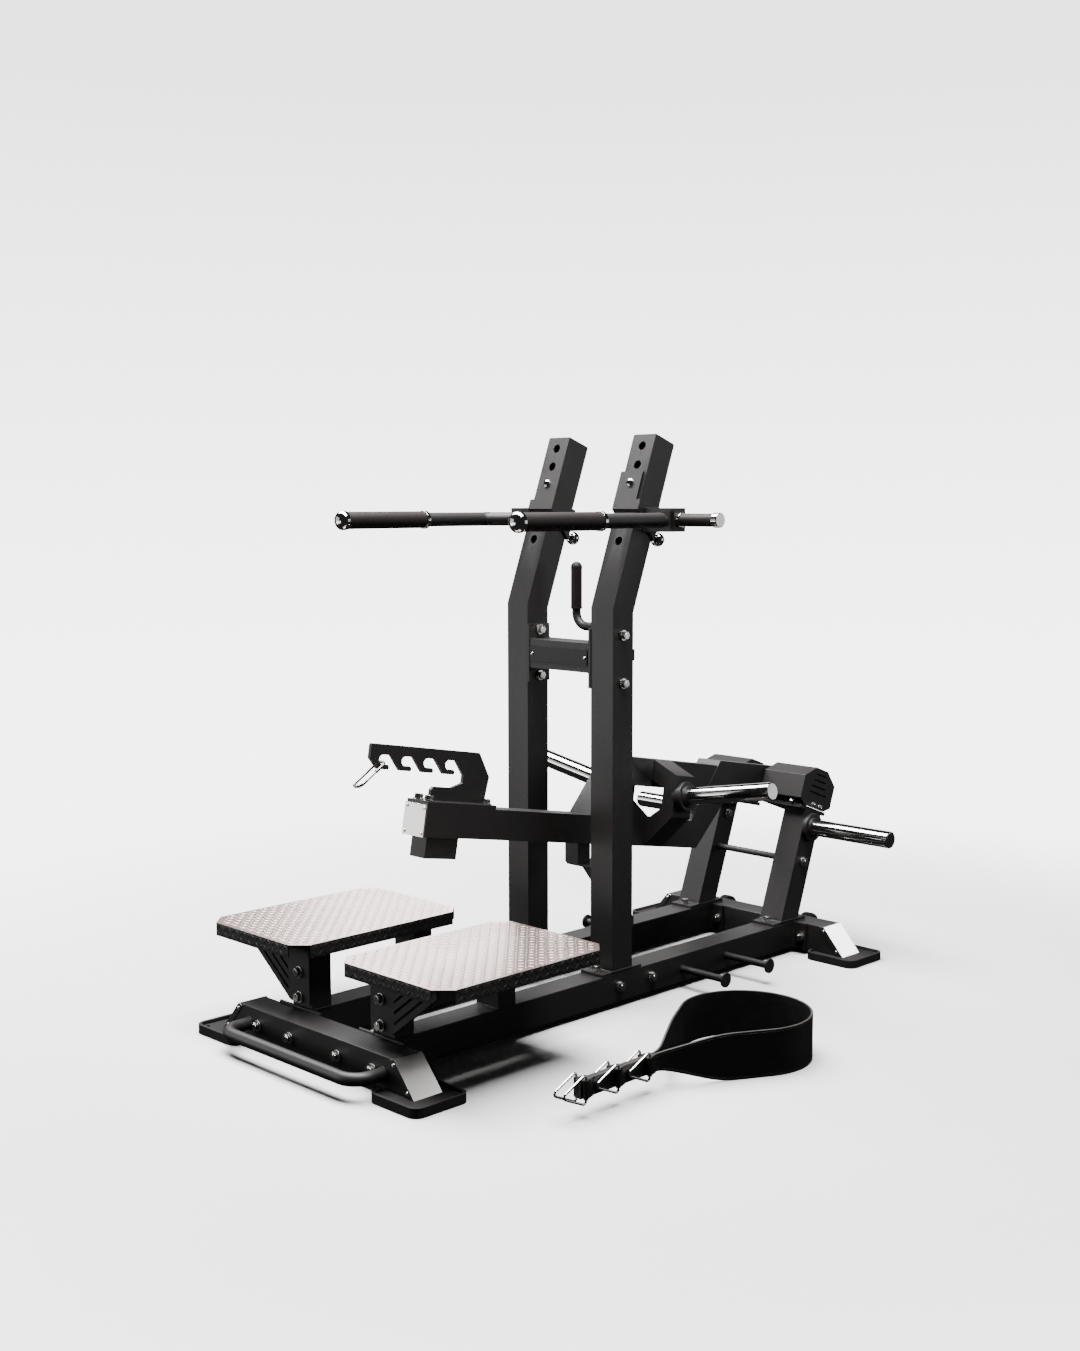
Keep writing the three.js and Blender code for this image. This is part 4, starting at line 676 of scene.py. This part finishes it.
# Round brace between the rear posts, level with the line of their horns
horn_low, horn_high = [TO_PART.inverted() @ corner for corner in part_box("right_storage_horn")]
horn_at = Vector((horn_low.x, (horn_low.y + horn_high.y) / 2, (horn_low.z + horn_high.z) / 2))
brace_y = horn_at.y - (horn_at.z - BRACE_HEIGHT) * tan(LEAN)
path = [(x, brace_y, BRACE_HEIGHT) for x in (-RAIL_INNER - 1, 0, RAIL_INNER + 1)]
finish(piped(path, BRACE_RADIUS, 24), "rear_brace_bar", coat, ("rear_brace",))


# Plate horns and their collars

def plate_horn(length):
    return lathe([(0, -1), (HORN_RADIUS, -1), (HORN_RADIUS, length - 3.2), (24.7, length - 2.0),
                  (23.8, length - 1.0), (22.4, length - 0.3), (21.5, length), (0, length)], steps=64)


def collar(thick):
    """A turned shoulder: a painted disc with a smaller raised ring round the horn."""
    rim = COLLAR_RADIUS
    return lathe([(24, 0), (rim - 1.4, 0), (rim, 1.4), (rim, thick - 2.2), (rim - 0.8, thick - 0.7),
                  (rim - 2.4, thick), (31.5, thick), (30.6, thick + 1), (30.4, thick + 5),
                  (29.2, thick + 6.2), (25.2, thick + 6.2), (24, thick + 6.2), (24, 0)], steps=56)


for name, side in SIDES:
    place = towards(horn_at, X)
    finish(plate_horn(HORN_TIP - RAIL_OUTER), f"{name}_storage_horn_bar", chrome, (f"{name}_storage_horn",),
           place=place, side=side)
    finish(collar(14.0), f"{name}_storage_collar", coat, place=place, side=side)
    slope = Vector((HORN_REACH - BRACKET_REACH, 0, HORN_UP - HORN_HUB))
    place = LEVER @ towards((BRACKET_REACH, HORN_ALONG, HORN_HUB), slope)
    finish(plate_horn(slope.length), f"{name}_weight_horn_bar", chrome, (f"{name}_weight_horn",), "lever",
           place, side)
    wedge = lathe([(0, -9), (COLLAR_RADIUS - 2, -9), (COLLAR_RADIUS - 2, 1), (0, 1)], steps=56)
    finish(gathered(collar(20.0), wedge), f"{name}_weight_collar", coat, (), "lever", place, side)

# Pivot shaft
shaft = lathe(rounded(SHAFT_RADIUS, -SHAFT_HALF, SHAFT_HALF, 1.4), PIVOT, X, 48)
finish(shaft, "pivot_shaft_bar", ground, ("pivot_shaft",), "lever")

# Release rod and the grip on its J handle
path = arc_path([(ROD_X, ROD_Y, ROD_FOOT), (ROD_X, ROD_Y, ROD_TOP), (RELEASE_X, ROD_Y, ROD_TOP),
                 (RELEASE_X, ROD_Y, RELEASE_TOP - 8)], ROD_BEND, 12)
finish(piped(path, ROD_RADIUS, 24), "release_rod_bar", coat, ("release_rod",), "release")
sleeve = [(12.4, 0), (15, 0), (16, 1.2), (16, 4), (15.4, 5), (15.4, 108)] + dome(16, 114, 16)
sleeve += [(0, 122), (12.4, 122), (12.4, 0)]
sleeve = lathe(sleeve, (RELEASE_X, ROD_Y, RELEASE_FOOT), steps=44)
finish(sleeve, "release_grip_sleeve", grip, ("release_grip",), "release")


# Handle carriages: tube, grips, caps, stud, pin barrel and pull pin

def handle_caps():
    """Dome cap and collar of the long grip, collar and cap of the short one."""
    cap = [(r, -h) for r, h in dome(25.6, -16, 17.6, 12)][::-1]
    cap += [(25.6, 22.6), (24.9, 24.4), (24.2, 25.3), (0, 25.3)]
    side_end = (SIDE_GRIP + SIDE_GRIP_LENGTH, ARM_DEPTH, ARM_HEIGHT)
    return gathered(
        lathe(cap, (HANDLE_REACH, HANDLE_TIP, ARM_HEIGHT), Y, 56),
        lathe(rounded(25.4, -0.3, RING + 0.4), (HANDLE_REACH, GRIP_REAR, ARM_HEIGHT), Y, 56),
        lathe(rounded(19.5, -0.3, RING + 0.3), (SIDE_GRIP - RING, ARM_DEPTH, ARM_HEIGHT), X, 48),
        lathe(rounded(19.5, -0.3, SIDE_CAP + 0.8, 2.2, 4), side_end, X, 48))


def pull_pin():
    """Rod with a point, a waist and a ball knob, drawn out of the upright."""
    turns = [pi * i / 22 for i in range(5, 23)]
    ball = [(19.1 * sin(a), 66.2 - 19.1 * cos(a)) for a in turns]
    return lathe([(0, 0), (6.5, 0), (9.3, 3), (9.3, 42), (8.2, 44.5), (7.8, 50.5)] + ball,
                 (RAIL, TUBE + 0.8, PIN_PLACE), Y, 48)


for name, side in SIDES:
    body = f"{name}_carriage"
    middle = (RAIL_OUTER + ARM_REACH) / 2
    path = arc_path([(HANDLE_REACH, GRIP_REAR, ARM_HEIGHT), (HANDLE_REACH, KNEE, ARM_HEIGHT),
                     (middle, KNEE + HANDLE_REACH - middle, ARM_HEIGHT)], 38, 10)
    finish(piped(path, 19.2, 28), f"{name}_handle_tube", coat, (), body, side=side)
    sleeve = tube(19.3, 22.2, 23, GRIP_REAR - GRIP_FRONT, 1.3)
    finish(lathe(sleeve, (HANDLE_REACH, GRIP_FRONT, ARM_HEIGHT), Y, 56), f"{name}_front_grip_sleeve",
           grip, (f"{name}_front_grip",), body, side=side)
    finish(handle_caps(), f"{name}_handle_caps", chrome, (), body, side=side)
    sleeve = tube(12.3, 16.3, 17, SIDE_GRIP_LENGTH, 1.2)
    finish(lathe(sleeve, (SIDE_GRIP, ARM_DEPTH, ARM_HEIGHT), X, 44), f"{name}_side_grip_sleeve", grip,
           (f"{name}_side_grip",), body, side=side)
    stud = lathe([(0, 0), (10.8, 0), (10.8, 3.6), (9.4, 4.8), (4.5, 5.6), (0, 5.8)],
                 (RAIL - 4, -6.6, STUD_PLACE), (0, -1, 0), 40)
    finish(stud, f"{name}_tab_stud", chrome, (), body, SLOPE, side)
    barrel = lathe([(10.3, 0), (15.4, 0), (15.4, 28.4), (13.8, 30.4), (10.3, 30.4), (10.3, 0)],
                   (RAIL, BARREL_FOOT, PIN_PLACE), Y, 40)
    finish(barrel, f"{name}_pin_barrel", plastic, (), body, SLOPE, side)
    finish(pull_pin(), f"{name}_pull_pin", chrome, (f"{name}_pop_pin",), f"{name}_pin", SLOPE, side)


# Decks of tear plate: a flat top and four skirts folded down the straight sides

def tear(length, width, height):
    """One raised tear of the floor plate: a low long drop, lying along X."""
    bm = lathe([(1, -0.3), (0.94, 0.3), (0.72, 0.7), (0.4, 0.93), (0, 1)], steps=12)
    bm.transform(Matrix.Diagonal((length / 2, width / 2, height, 1)))
    return bm


# Ends of the deck's straight sides, at its cut corners
LEFT_CUT, RIGHT_CUT = DECK_INNER + DECK_CHAMFER, DECK_OUTER - DECK_CHAMFER
FRONT_CUT, REAR_CUT = DECK_FRONT + DECK_CHAMFER, DECK_REAR - DECK_CHAMFER


def tears_between(a0, a1, b0, b1, keep=lambda a, b: True):
    """Places of tears that cross one way and the other in turn, on a rectangle."""
    rows = max(1, int((b1 - b0) // TEAR_PITCH))
    columns = int((a1 - a0) // TEAR_PITCH)
    out = []
    for j in range(rows):
        for i in range(columns):
            a = (a0 + a1) / 2 + (i - (columns - 1) / 2) * TEAR_PITCH
            b = (b0 + b1) / 2 + (j - (rows - 1) / 2) * TEAR_PITCH
            if keep(a, b):
                out.append((a, b, 45 if (i + j) % 2 else -45))
    return out


def on_deck(x, y):
    inset = 7.0
    dx = min(x - DECK_INNER, DECK_OUTER - x) - inset
    dy = min(y - DECK_FRONT, DECK_REAR - y) - inset
    return dx + dy > DECK_CHAMFER - inset * 0.4


def deck_plate():
    octagon = [(LEFT_CUT, DECK_FRONT), (RIGHT_CUT, DECK_FRONT), (DECK_OUTER, FRONT_CUT),
               (DECK_OUTER, REAR_CUT), (RIGHT_CUT, DECK_REAR), (LEFT_CUT, DECK_REAR),
               (DECK_INNER, REAR_CUT), (DECK_INNER, FRONT_CUT)]
    pieces = [slab(octagon, DECK_TOP - DECK_THICK, DECK_TOP, 1.6, 3)]
    low = DECK_TOP - SKIRT
    high = DECK_TOP - DECK_THICK + 0.4
    for y in (DECK_FRONT, DECK_REAR - DECK_THICK):
        pieces.append(block(LEFT_CUT, RIGHT_CUT, y, y + DECK_THICK, low, high, 0.8))
    for x in (DECK_INNER, DECK_OUTER - DECK_THICK):
        pieces.append(block(x, x + DECK_THICK, FRONT_CUT, REAR_CUT, low, high, 0.8))
    whole = gathered(*pieces)
    paint(whole, lambda face: not (face.normal.z > 0.5 and face.calc_center_median().z > DECK_TOP - 2))
    return whole


def top_tears():
    spots = tears_between(DECK_INNER + 4, DECK_OUTER - 4, DECK_FRONT + 4, DECK_REAR - 4, on_deck)
    places = [Matrix.Translation((x, y, DECK_TOP)) @ rotation(turn, "Z") for x, y, turn in spots]
    return scattered(tear(18, 6.4, 1.2), places)


def skirt_tears():
    low, high = DECK_TOP - SKIRT, DECK_TOP
    places = []
    for y, out in ((DECK_FRONT, -1), (DECK_REAR, 1)):
        for x, z, turn in tears_between(LEFT_CUT, RIGHT_CUT, low, high):
            places.append(towards((x, y, z), (0, out, 0)) @ rotation(turn, "Z"))
    for x, out in ((DECK_INNER, -1), (DECK_OUTER, 1)):
        for y, z, turn in tears_between(FRONT_CUT, REAR_CUT, low, high):
            places.append(towards((x, y, z), (out, 0, 0)) @ rotation(turn, "Z"))
    return scattered(tear(17, 4.6, 1.1), places)


for name, side in SIDES:
    finish(deck_plate(), f"{name}_deck_plate", [grit, skirt_coat], (f"{name}_platform",), side=side)
    finish(top_tears(), f"{name}_deck_tears", grit, side=side)
    finish(skirt_tears(), f"{name}_skirt_tears", skirt_coat, side=side)


# Belt: a strap on its edge whose ends lie side by side in a narrow tail

def belt_path():
    """Middle line of the strap, from the end of the left tail round the loop to the end of the right one."""
    reach = BELT_Y - (BELT_JOIN + BELT_THICK)
    angle = asin(BELT_RADIUS / reach)
    half = TAIL_GAP + BELT_THICK / 2
    turns = [pi + angle - (pi + 2 * angle) * i / 60 for i in range(61)]
    loop = [Vector((BELT_X + BELT_RADIUS * cos(a), BELT_Y + BELT_RADIUS * sin(a), 0)) for a in turns]
    knee = Vector((BELT_X - half, BELT_JOIN, 0))
    lead = arc_path([(BELT_X - half, BELT_END, 0), knee, loop[0]], 130, 8)[:-1]
    straight = [lead[0].lerp(lead[1], i / 12) for i in range(12)]
    run = [lead[-1].lerp(loop[0], i / 10) for i in range(1, 10)]
    left = straight + lead[1:] + run
    right = [Vector((2 * BELT_X - p.x, p.y, 0)) for p in reversed(left)]
    return left + loop + right


def belt_rims(y):
    """Heights of the strap's lower and upper rim."""
    share = min(max((y - TAPER[0]) / (TAPER[1] - TAPER[0]), 0), 1)
    share = share * share * (3 - 2 * share)
    return TAIL_FOOT * (1 - share), TAIL_TOP + (BELT_WIDE - TAIL_TOP) * share


def belt_places():
    path = belt_path()
    places = []
    for i, at in enumerate(path):
        along = (path[min(i + 1, len(path) - 1)] - path[max(i - 1, 0)]).normalized()
        out = Vector((-along.y, along.x, 0))
        low, high = belt_rims(at.y)
        basis = Matrix((out * BELT_THICK / 2, along, Vector((0, 0, (high - low) / 2)))).transposed().to_4x4()
        places.append(Matrix.Translation((at.x, at.y, (low + high) / 2)) @ basis)
    return places


strap = swept([(-1, 0, -1), (1, 0, -1), (1, 0, 1), (-1, 0, 1)], belt_places())
round_edges(strap, 1.7, 3, 60)
paint(strap, lambda face: abs(face.normal.z) > 0.35 and face.calc_area() < 400)
finish(strap, "belt_strap_leather", [leather, edge_paint], ("belt_strap",))

# Second layers on the outer faces of the tail
strap_face = TAIL_GAP + BELT_THICK
layers = gathered(*[block(BELT_X + side * (strap_face - 1), BELT_X + side * (strap_face + TAIL_LAYER),
                          BELT_END, LAYER_END, TAIL_FOOT, TAIL_TOP) for side in (-1, 1)])
ops.recalc_face_normals(layers, faces=layers.faces)
round_edges(layers, 0.9, 2)
paint(layers, lambda face: abs(face.normal.z) > 0.35)
finish(layers, "belt_tail_layers", [leather, edge_paint])


def stitch_places():
    """Stitches along both rims, on the outer face."""
    path = belt_path()
    places = []
    travelled = 0.0
    for a, b in zip(path, path[1:]):
        step = (b - a).length
        along = (b - a).normalized()
        out = Vector((-along.y, along.x, 0))
        while travelled < step:
            at = a + along * travelled
            rise = BELT_THICK / 2 + (TAIL_LAYER if at.y < LAYER_END else 0)
            low, high = belt_rims(at.y)
            for z in (low + STITCH_INSET, high - STITCH_INSET):
                places.append(towards(Vector((at.x, at.y, z)) + out * rise, along))
            travelled += STITCH_PITCH
        travelled -= step
    return places


stitch = lathe([(0, -2.3), (0.55, -1.7), (0.7, 0), (0.55, 1.7), (0, 2.3)], steps=6)
finish(scattered(stitch, stitch_places()), "belt_stitches", thread)


def ring_tab():
    """A leather loop folded round a ring's bar, its tail stitched down on the strap."""
    face = strap_face + TAIL_LAYER
    bar = RING_OFF
    turns = [radians(t) for t in range(-180, 91, 18)]
    outline = [(bar + 6 * cos(a), 6.4 * sin(a)) for a in turns]
    outline += [(bar + 1, 12), (bar - 2.5, 20), (bar - 4.2, 27.5), (face - 0.4, 27.5)]
    fold = slab(outline, TAIL_MIDDLE - 22, TAIL_MIDDLE + 22, 0.9, 2)
    seam = [lathe([(0, -2), (0.6, -1.5), (0.75, 0), (0.6, 1.5), (0, 2)], (bar - 1.6, 16, TAIL_MIDDLE + z),
                  Z, 6) for z in range(-18, 19, 6)]
    return gathered(fold, *seam)


for name, side in SIDES:
    for i in (1, 2, 3):
        y = RING_FIRST + (i - 1) * RING_PITCH
        tab = ring_tab()
        tab.transform(Matrix.Translation((0, y, 0)))
        if side < 0:
            mirror(tab)
        finish(tab, f"belt_tab_{name}_{i}", leather, place=Matrix.Translation((BELT_X, 0, 0)))
        node = f"belt_ring_{name}_{i}"
        corners = [(0, 0, 0), (0, 0, RING_HALF), (0, -RING_REACH, 0), (0, 0, -RING_HALF), (0, 0, 0)]
        path = arc_path(corners, 7, 6)
        place = Matrix.Translation((BELT_X + side * RING_OFF, y, TAIL_MIDDLE))
        finish(piped(path[:-1], 3.0, 16, True), node + "_wire", wire, (node,), f"{name}_ring_{i}", place)

# Carabiner in the first hook, and its gate
clip_place = Matrix.Translation(LEVER @ CLIP) @ rotation(32, "X")
corners = ((CLIP_HALF, GATE_HEAD + 1), (CLIP_HALF, 0), (-CLIP_HALF, 0), (-CLIP_HALF, -CLIP_LENGTH),
           (CLIP_HALF, -CLIP_LENGTH), (CLIP_HALF, GATE_FOOT - 0.5))
loop = arc_path([(x, y, 0) for x, y in corners], CLIP_HALF - 0.6, 12)
turns = [pi * i / 12 for i in range(2, 12)]
nose = lathe([(0, -4)] + [(4.9 * sin(a), 1 - 5 * cos(a)) for a in turns] + [(0, 6)],
             (CLIP_HALF, GATE_HEAD + 3, 0), Y, 20)
clip = gathered(piped(loop, CLIP_WIRE, 20), nose)
finish(clip, "carabiner_body", smoky, ("carabiner",), "carabiner", clip_place)
gate = lathe([(0, 0.4), (2.4, 0.4), (3.3, 1.4), (3.4, 10), (3.4, 30), (3.0, 35.2), (0, 35.4)],
             (CLIP_HALF, GATE_FOOT, 0), Y, 20)
rivet = lathe(rounded(1.8, -4.4, 4.4, 0.5, 2), (CLIP_HALF, GATE_FOOT + 3.3, 0), Z, 14)
finish(gathered(gate, rivet), "carabiner_gate_bar", smoky, ("carabiner_gate",), "gate", clip_place)

# Bolts of the frame
post_middle = POST_FOOT + TUBE / cos(LEAN) / 2
bolts = []
for side in (-1, 1):
    outward, inward = (side, 0, 0), (-side, 0, 0)
    outer, inner = side * RAIL_OUTER, side * RAIL_INNER
    for offset in (-1, 1):
        x = side * (RAIL + offset * FLANGE_BOLT)
        bolts += [((x, y, FLANGE_HEIGHT), (0, -1, 0)) for y in (FRONT_BEAM, REAR_BEAM - PLATE)]
        bolts.append(((side * RAIL, UPRIGHT_MIDDLE + offset * FOOT_BOLT, FOOT_TOP), Z))
        height = CROSSBAR_MIDDLE + offset * CROSSBAR_BOLT
        bolts.append(((outer, UPRIGHT_MIDDLE, height), outward))
        bolts.append(((side * (RAIL_INNER - PLATE), UPRIGHT_MIDDLE, height), inward))
    for y in RAIL_BOLTS:
        bolts += [((outer, y, RAIL_BOLT_HEIGHT), outward), ((inner, y, RAIL_BOLT_HEIGHT), inward)]
    bolts += [((side * RAIL, POSTS[0][0] - PLATE, z), (0, -1, 0)) for z in GUSSET_BOLTS]
    bolts.append(((side * RAIL, post_middle - FOOT_BOLT, FOOT_TOP), Z))
    bolts.append(((outer, brace_y, BRACE_HEIGHT), outward))
    bolts.append(((inner, horn_at.y, horn_at.z), inward))
finish(placed(hex_bolt(), bolts), "frame_bolts", zinc)

# Smaller bolts of the guards, and the wheel axles
small = []
for side in (-1, 1):
    guard = side * (RAIL_OUTER - 0.3)
    small += [(HEAD @ Vector((guard, depth, -48)), (side, 0, 0)) for depth in (-11, 26)]
    small.append((HEAD @ Vector((side * RAIL, -65.5, -48.0)), HEAD.to_3x3() @ Vector((0, -0.474, -0.88))))
    for x in (-1, 1):
        small.append(((side * RAIL + x * (WHEEL_WIDE / 2 + 2 + 5), WHEEL_Y, WHEEL_HEIGHT), (x, 0, 0)))
finish(placed(hex_bolt(13.0, 8.4, 18.0, 2.0), small), "frame_small_bolts", zinc)

# Bolts of the hook plate and screws of the lever's end plate
lever_bolts = [((side * HOOK_BOLT, along, HOOK_BASE_TOP), Z)
               for along in (NOSE + HOOK_BOLT, HOOK_BASE_REAR - HOOK_BOLT) for side in (-1, 1)]
corner = 32.0
plate_middle = (ARM_LOW + ARM_HIGH) / 2
lever_screws = [((x, NOSE - 5.3, plate_middle + z), (0, -1, 0))
                for x in (-corner, corner) for z in (-corner, corner)]
lever_fasteners = gathered(placed(hex_bolt(), lever_bolts), placed(button_screw(), lever_screws))
finish(lever_fasteners, "lever_fasteners", zinc, (), "lever", LEVER)

# Screws of the crossbar's plate and of the end covers' lips
screws = [((side * PLATE_SCREW, CROSSBAR_FRONT - SHEET, CROSSBAR_MIDDLE), (0, -1, 0)) for side in (-1, 1)]
for side in (-1, 1):
    for beam in (FRONT_BEAM, REAR_BEAM):
        for y, out in ((beam - SHEET, -1), (beam + TUBE + SHEET, 1)):
            for share in (0.16, 0.84):
                x = BEAM_REACH - share * END_RUN - COVER_LIP * 0.55
                screws.append(((side * x, y, PAD + share * TUBE), (0, out, 0)))
finish(placed(button_screw(4.8), screws), "frame_screws", zinc)


# Weld beads under the paint

def frame_beads():
    beads = []
    for side in (-1, 1):
        x0, x1 = side * RAIL_INNER, side * RAIL_OUTER
        beads.append(bead(square("z", FOOT_TOP, x0, x1, UPRIGHT_FRONT, UPRIGHT_FRONT + TUBE), 3.0))
        beads.append(bead(square("z", FOOT_TOP, x0, x1, POST_FOOT, POST_FOOT + TUBE / cos(LEAN)), 3.0))
        beads += [bead(square("z", BEAM_TOP, x0, x1, y0, y1)) for y0, y1 in POSTS]
        flanges = (FRONT_BEAM + TUBE + PLATE, REAR_BEAM - PLATE)
        beads += [bead(square("y", y, x0, x1, PAD, BEAM_TOP)) for y in flanges]
        beads.append(bead(square("x", side * (RAIL_INNER - PLATE), CROSSBAR_FRONT,
                                 CROSSBAR_FRONT + CROSSBAR_DEPTH, CROSSBAR_MIDDLE - CROSSBAR_HALF,
                                 CROSSBAR_MIDDLE + CROSSBAR_HALF)))
        beads.append(round_bead((side * CARRY_REACH, FRONT_BEAM, CARRY_HEIGHT), Y, CARRY_RADIUS, 2.4))
        beads.append(round_bead((side * RAIL_INNER, brace_y, BRACE_HEIGHT), X, BRACE_RADIUS))
        beads += [round_bead((side * RAIL_OUTER, y, PEG_HEIGHT), X, 9.8) for y in PEG_PLACES]
    return gathered(*beads)


finish(frame_beads(), "frame_weld_beads", coat)
beads = [bead([(x, -1206, HOOK_BASE_TOP), (x, -1394, HOOK_BASE_TOP)], 2.4, False) for x in (-5, 5)]
beads.append(bead(square("z", ARM_LOW, -28, 28, NOSE + 20, NOSE + 128), 2.4))
finish(gathered(*beads), "lever_weld_beads", coat, (), "lever", LEVER)
for name, side in SIDES:
    half = ARM_SIDE / 2
    arm = bead(square("x", RAIL_OUTER + 6.8, ARM_DEPTH - half, ARM_DEPTH + half, ARM_HEIGHT - half,
                      ARM_HEIGHT + half), 2.6)
    finish(arm, f"{name}_arm_weld", coat, (), f"{name}_carriage", side=side)


# Numerals below the holes, 1 at the top

def numeral(text):
    curve = bpy.data.curves.new("numeral", "FONT")
    curve.body = text
    curve.size = 17
    curve.extrude = 0.12
    curve.align_x = curve.align_y = "CENTER"
    holder = linked("numeral", curve)
    bpy.context.view_layer.update()
    mesh = bpy.data.meshes.new_from_object(holder.evaluated_get(bpy.context.evaluated_depsgraph_get()))
    bm = bmesh.new()
    bm.from_mesh(mesh)
    bpy.data.objects.remove(holder)
    bpy.data.curves.remove(curve)
    bpy.data.meshes.remove(mesh)
    return bm


for name, side in SIDES:
    marks = bmesh.new()
    for i in range(HOLES):
        mark = numeral(str(HOLES - i))
        at = (side * RAIL, -0.1, LOWEST_HOLE + HOLE_PITCH * i - 25)
        mark.transform(Matrix.Translation(at) @ rotation(90, "X"))
        merge(marks, mark)
    finish(marks, f"{name}_numerals", stamp, place=SLOPE)


# Studio: a pale paper dome round the machine and soft boxes

def paper_material():
    """Pale matt paper, lit by the soft boxes near the machine; farther out it glows by itself, painted light
    that fades from the floor up the wall.
    """
    material, tree, shader, place = new_material("studio_paper")
    cloud = speckle(tree, place, 900, 2)
    tree.links.new(ramp(tree, cloud, "#e8e8e8", "#ebebeb"), shader.inputs["Base Color"])
    shader.inputs["Roughness"].default_value = 0.9
    shader.inputs["Specular IOR Level"].default_value = 0.1
    parts = add(tree, "SeparateXYZ", None, Vector=place)
    flat = add(tree, "CombineXYZ", None, X=parts.outputs[0], Y=parts.outputs[1]).outputs[0]
    away = add(tree, "VectorMath", {"operation": "LENGTH"}, i0=flat).outputs["Value"]
    edge = {"interpolation_type": "SMOOTHSTEP", "From Min": 1.3, "From Max": 3.2}
    far = add(tree, "MapRange", edge, Value=away).outputs[0]
    # Painted light: the paper's own glow, 5.3 at the floor fading to 3.0 high on the wall.
    fading = {"From Min": 0.0, "From Max": 4.6, "To Min": 5.3, "To Max": 3.0}
    glow = add(tree, "MapRange", fading, Value=parts.outputs[2]).outputs[0]
    light = add(tree, "Emission", {"Color": srgb("#ffffff")}, Strength=glow).outputs[0]
    both = add(tree, "MixShader", None, Fac=far, i1=shader.outputs[0], i2=light)
    tree.links.new(both.outputs[0], tree.nodes["Material Output"].inputs["Surface"])
    return material


sweep = [(0, 0), (1.5, 0), (3, 0), (6, 0)]
sweep += [(6 + 3 * sin(radians(t)), 3 - 3 * cos(radians(t))) for t in range(6, 91, 6)]
sweep += [(9, 5), (9, 7)]
bm = lathe(sweep, steps=96)
outward = [f for f in bm.faces if f.normal.dot(-f.calc_center_median() + Vector((0, 0, 3))) < 0]
ops.reverse_faces(bm, faces=outward)
paper_sweep = built(bm, "studio_sweep", paper_material())
for rays in ("glossy", "diffuse", "shadow"):
    setattr(paper_sweep, f"visible_{rays}", False)

world = bpy.data.worlds.new("studio")
bpy.context.scene.world = world
world.use_nodes = True
background = world.node_tree.nodes["Background"]
background.inputs["Color"].default_value = srgb("#e6e6e6")
background.inputs["Strength"].default_value = 0.03

# The fills light the machine only, so that the paper keeps its deep shadows. Two of them are for
# the decks and the covers alone.
not_paper = bpy.data.collections.new("not_the_paper")
not_paper.objects.link(paper_sweep)
not_paper.collection_objects[0].light_linking.link_state = "EXCLUDE"
covers = bpy.data.collections.new("covers")
decks = bpy.data.collections.new("decks")
for name, side in SIDES:
    for piece in ("plate", "tears"):
        decks.objects.link(bpy.data.objects[f"{name}_deck_{piece}"])
    for end in ("front", "rear"):
        covers.objects.link(bpy.data.objects[f"{end}_{name}_end_cover_sheet"])


def soft_box(name, at, aim_at, size, radiance, receivers=not_paper):
    """A rectangular soft box, as bright as given whatever its size. It lights its receivers, or all."""
    light = bpy.data.lights.new(name, "AREA")
    light.shape = "RECTANGLE"
    light.size, light.size_y = size
    light.energy = radiance * pi * size[0] * size[1]
    holder = linked(name, light)
    holder.location = at
    holder.rotation_euler = (Vector(aim_at) - Vector(at)).to_track_quat("-Z", "Y").to_euler()
    holder.light_linking.receiver_collection = receivers


soft_box("overhead", (-1.2, -0.3, 4.4), (-1.2, -0.3, 0), (6.4, 2.6), 26, None)
soft_box("front_left_fill", (-4.2, -3.6, 1.5), (0, 0, 0.5), (4.0, 2.8), 0.9)
soft_box("low_front_fill", (-2.4, -3.2, 0.6), (0, -0.6, 0.2), (3.4, 1.0), 3.0)
soft_box("right_rear_fill", (3.8, 4.2, 1.4), (0, 0, 0.6), (3.6, 2.4), 1.2)
soft_box("rear_left_edge", (-4.5, 4.5, 1.6), (0, 0, 0.6), (4.0, 2.0), 1.6)
soft_box("cover_light", (2.2, 5.0, 3.4), (0.2, 0, 0.1), (2.6, 2.0), 13, covers)
soft_box("deck_sheen", (-3.6, 2.9, 1.7), (0, -0.6, 0.28), (2.0, 1.8), 9, decks)
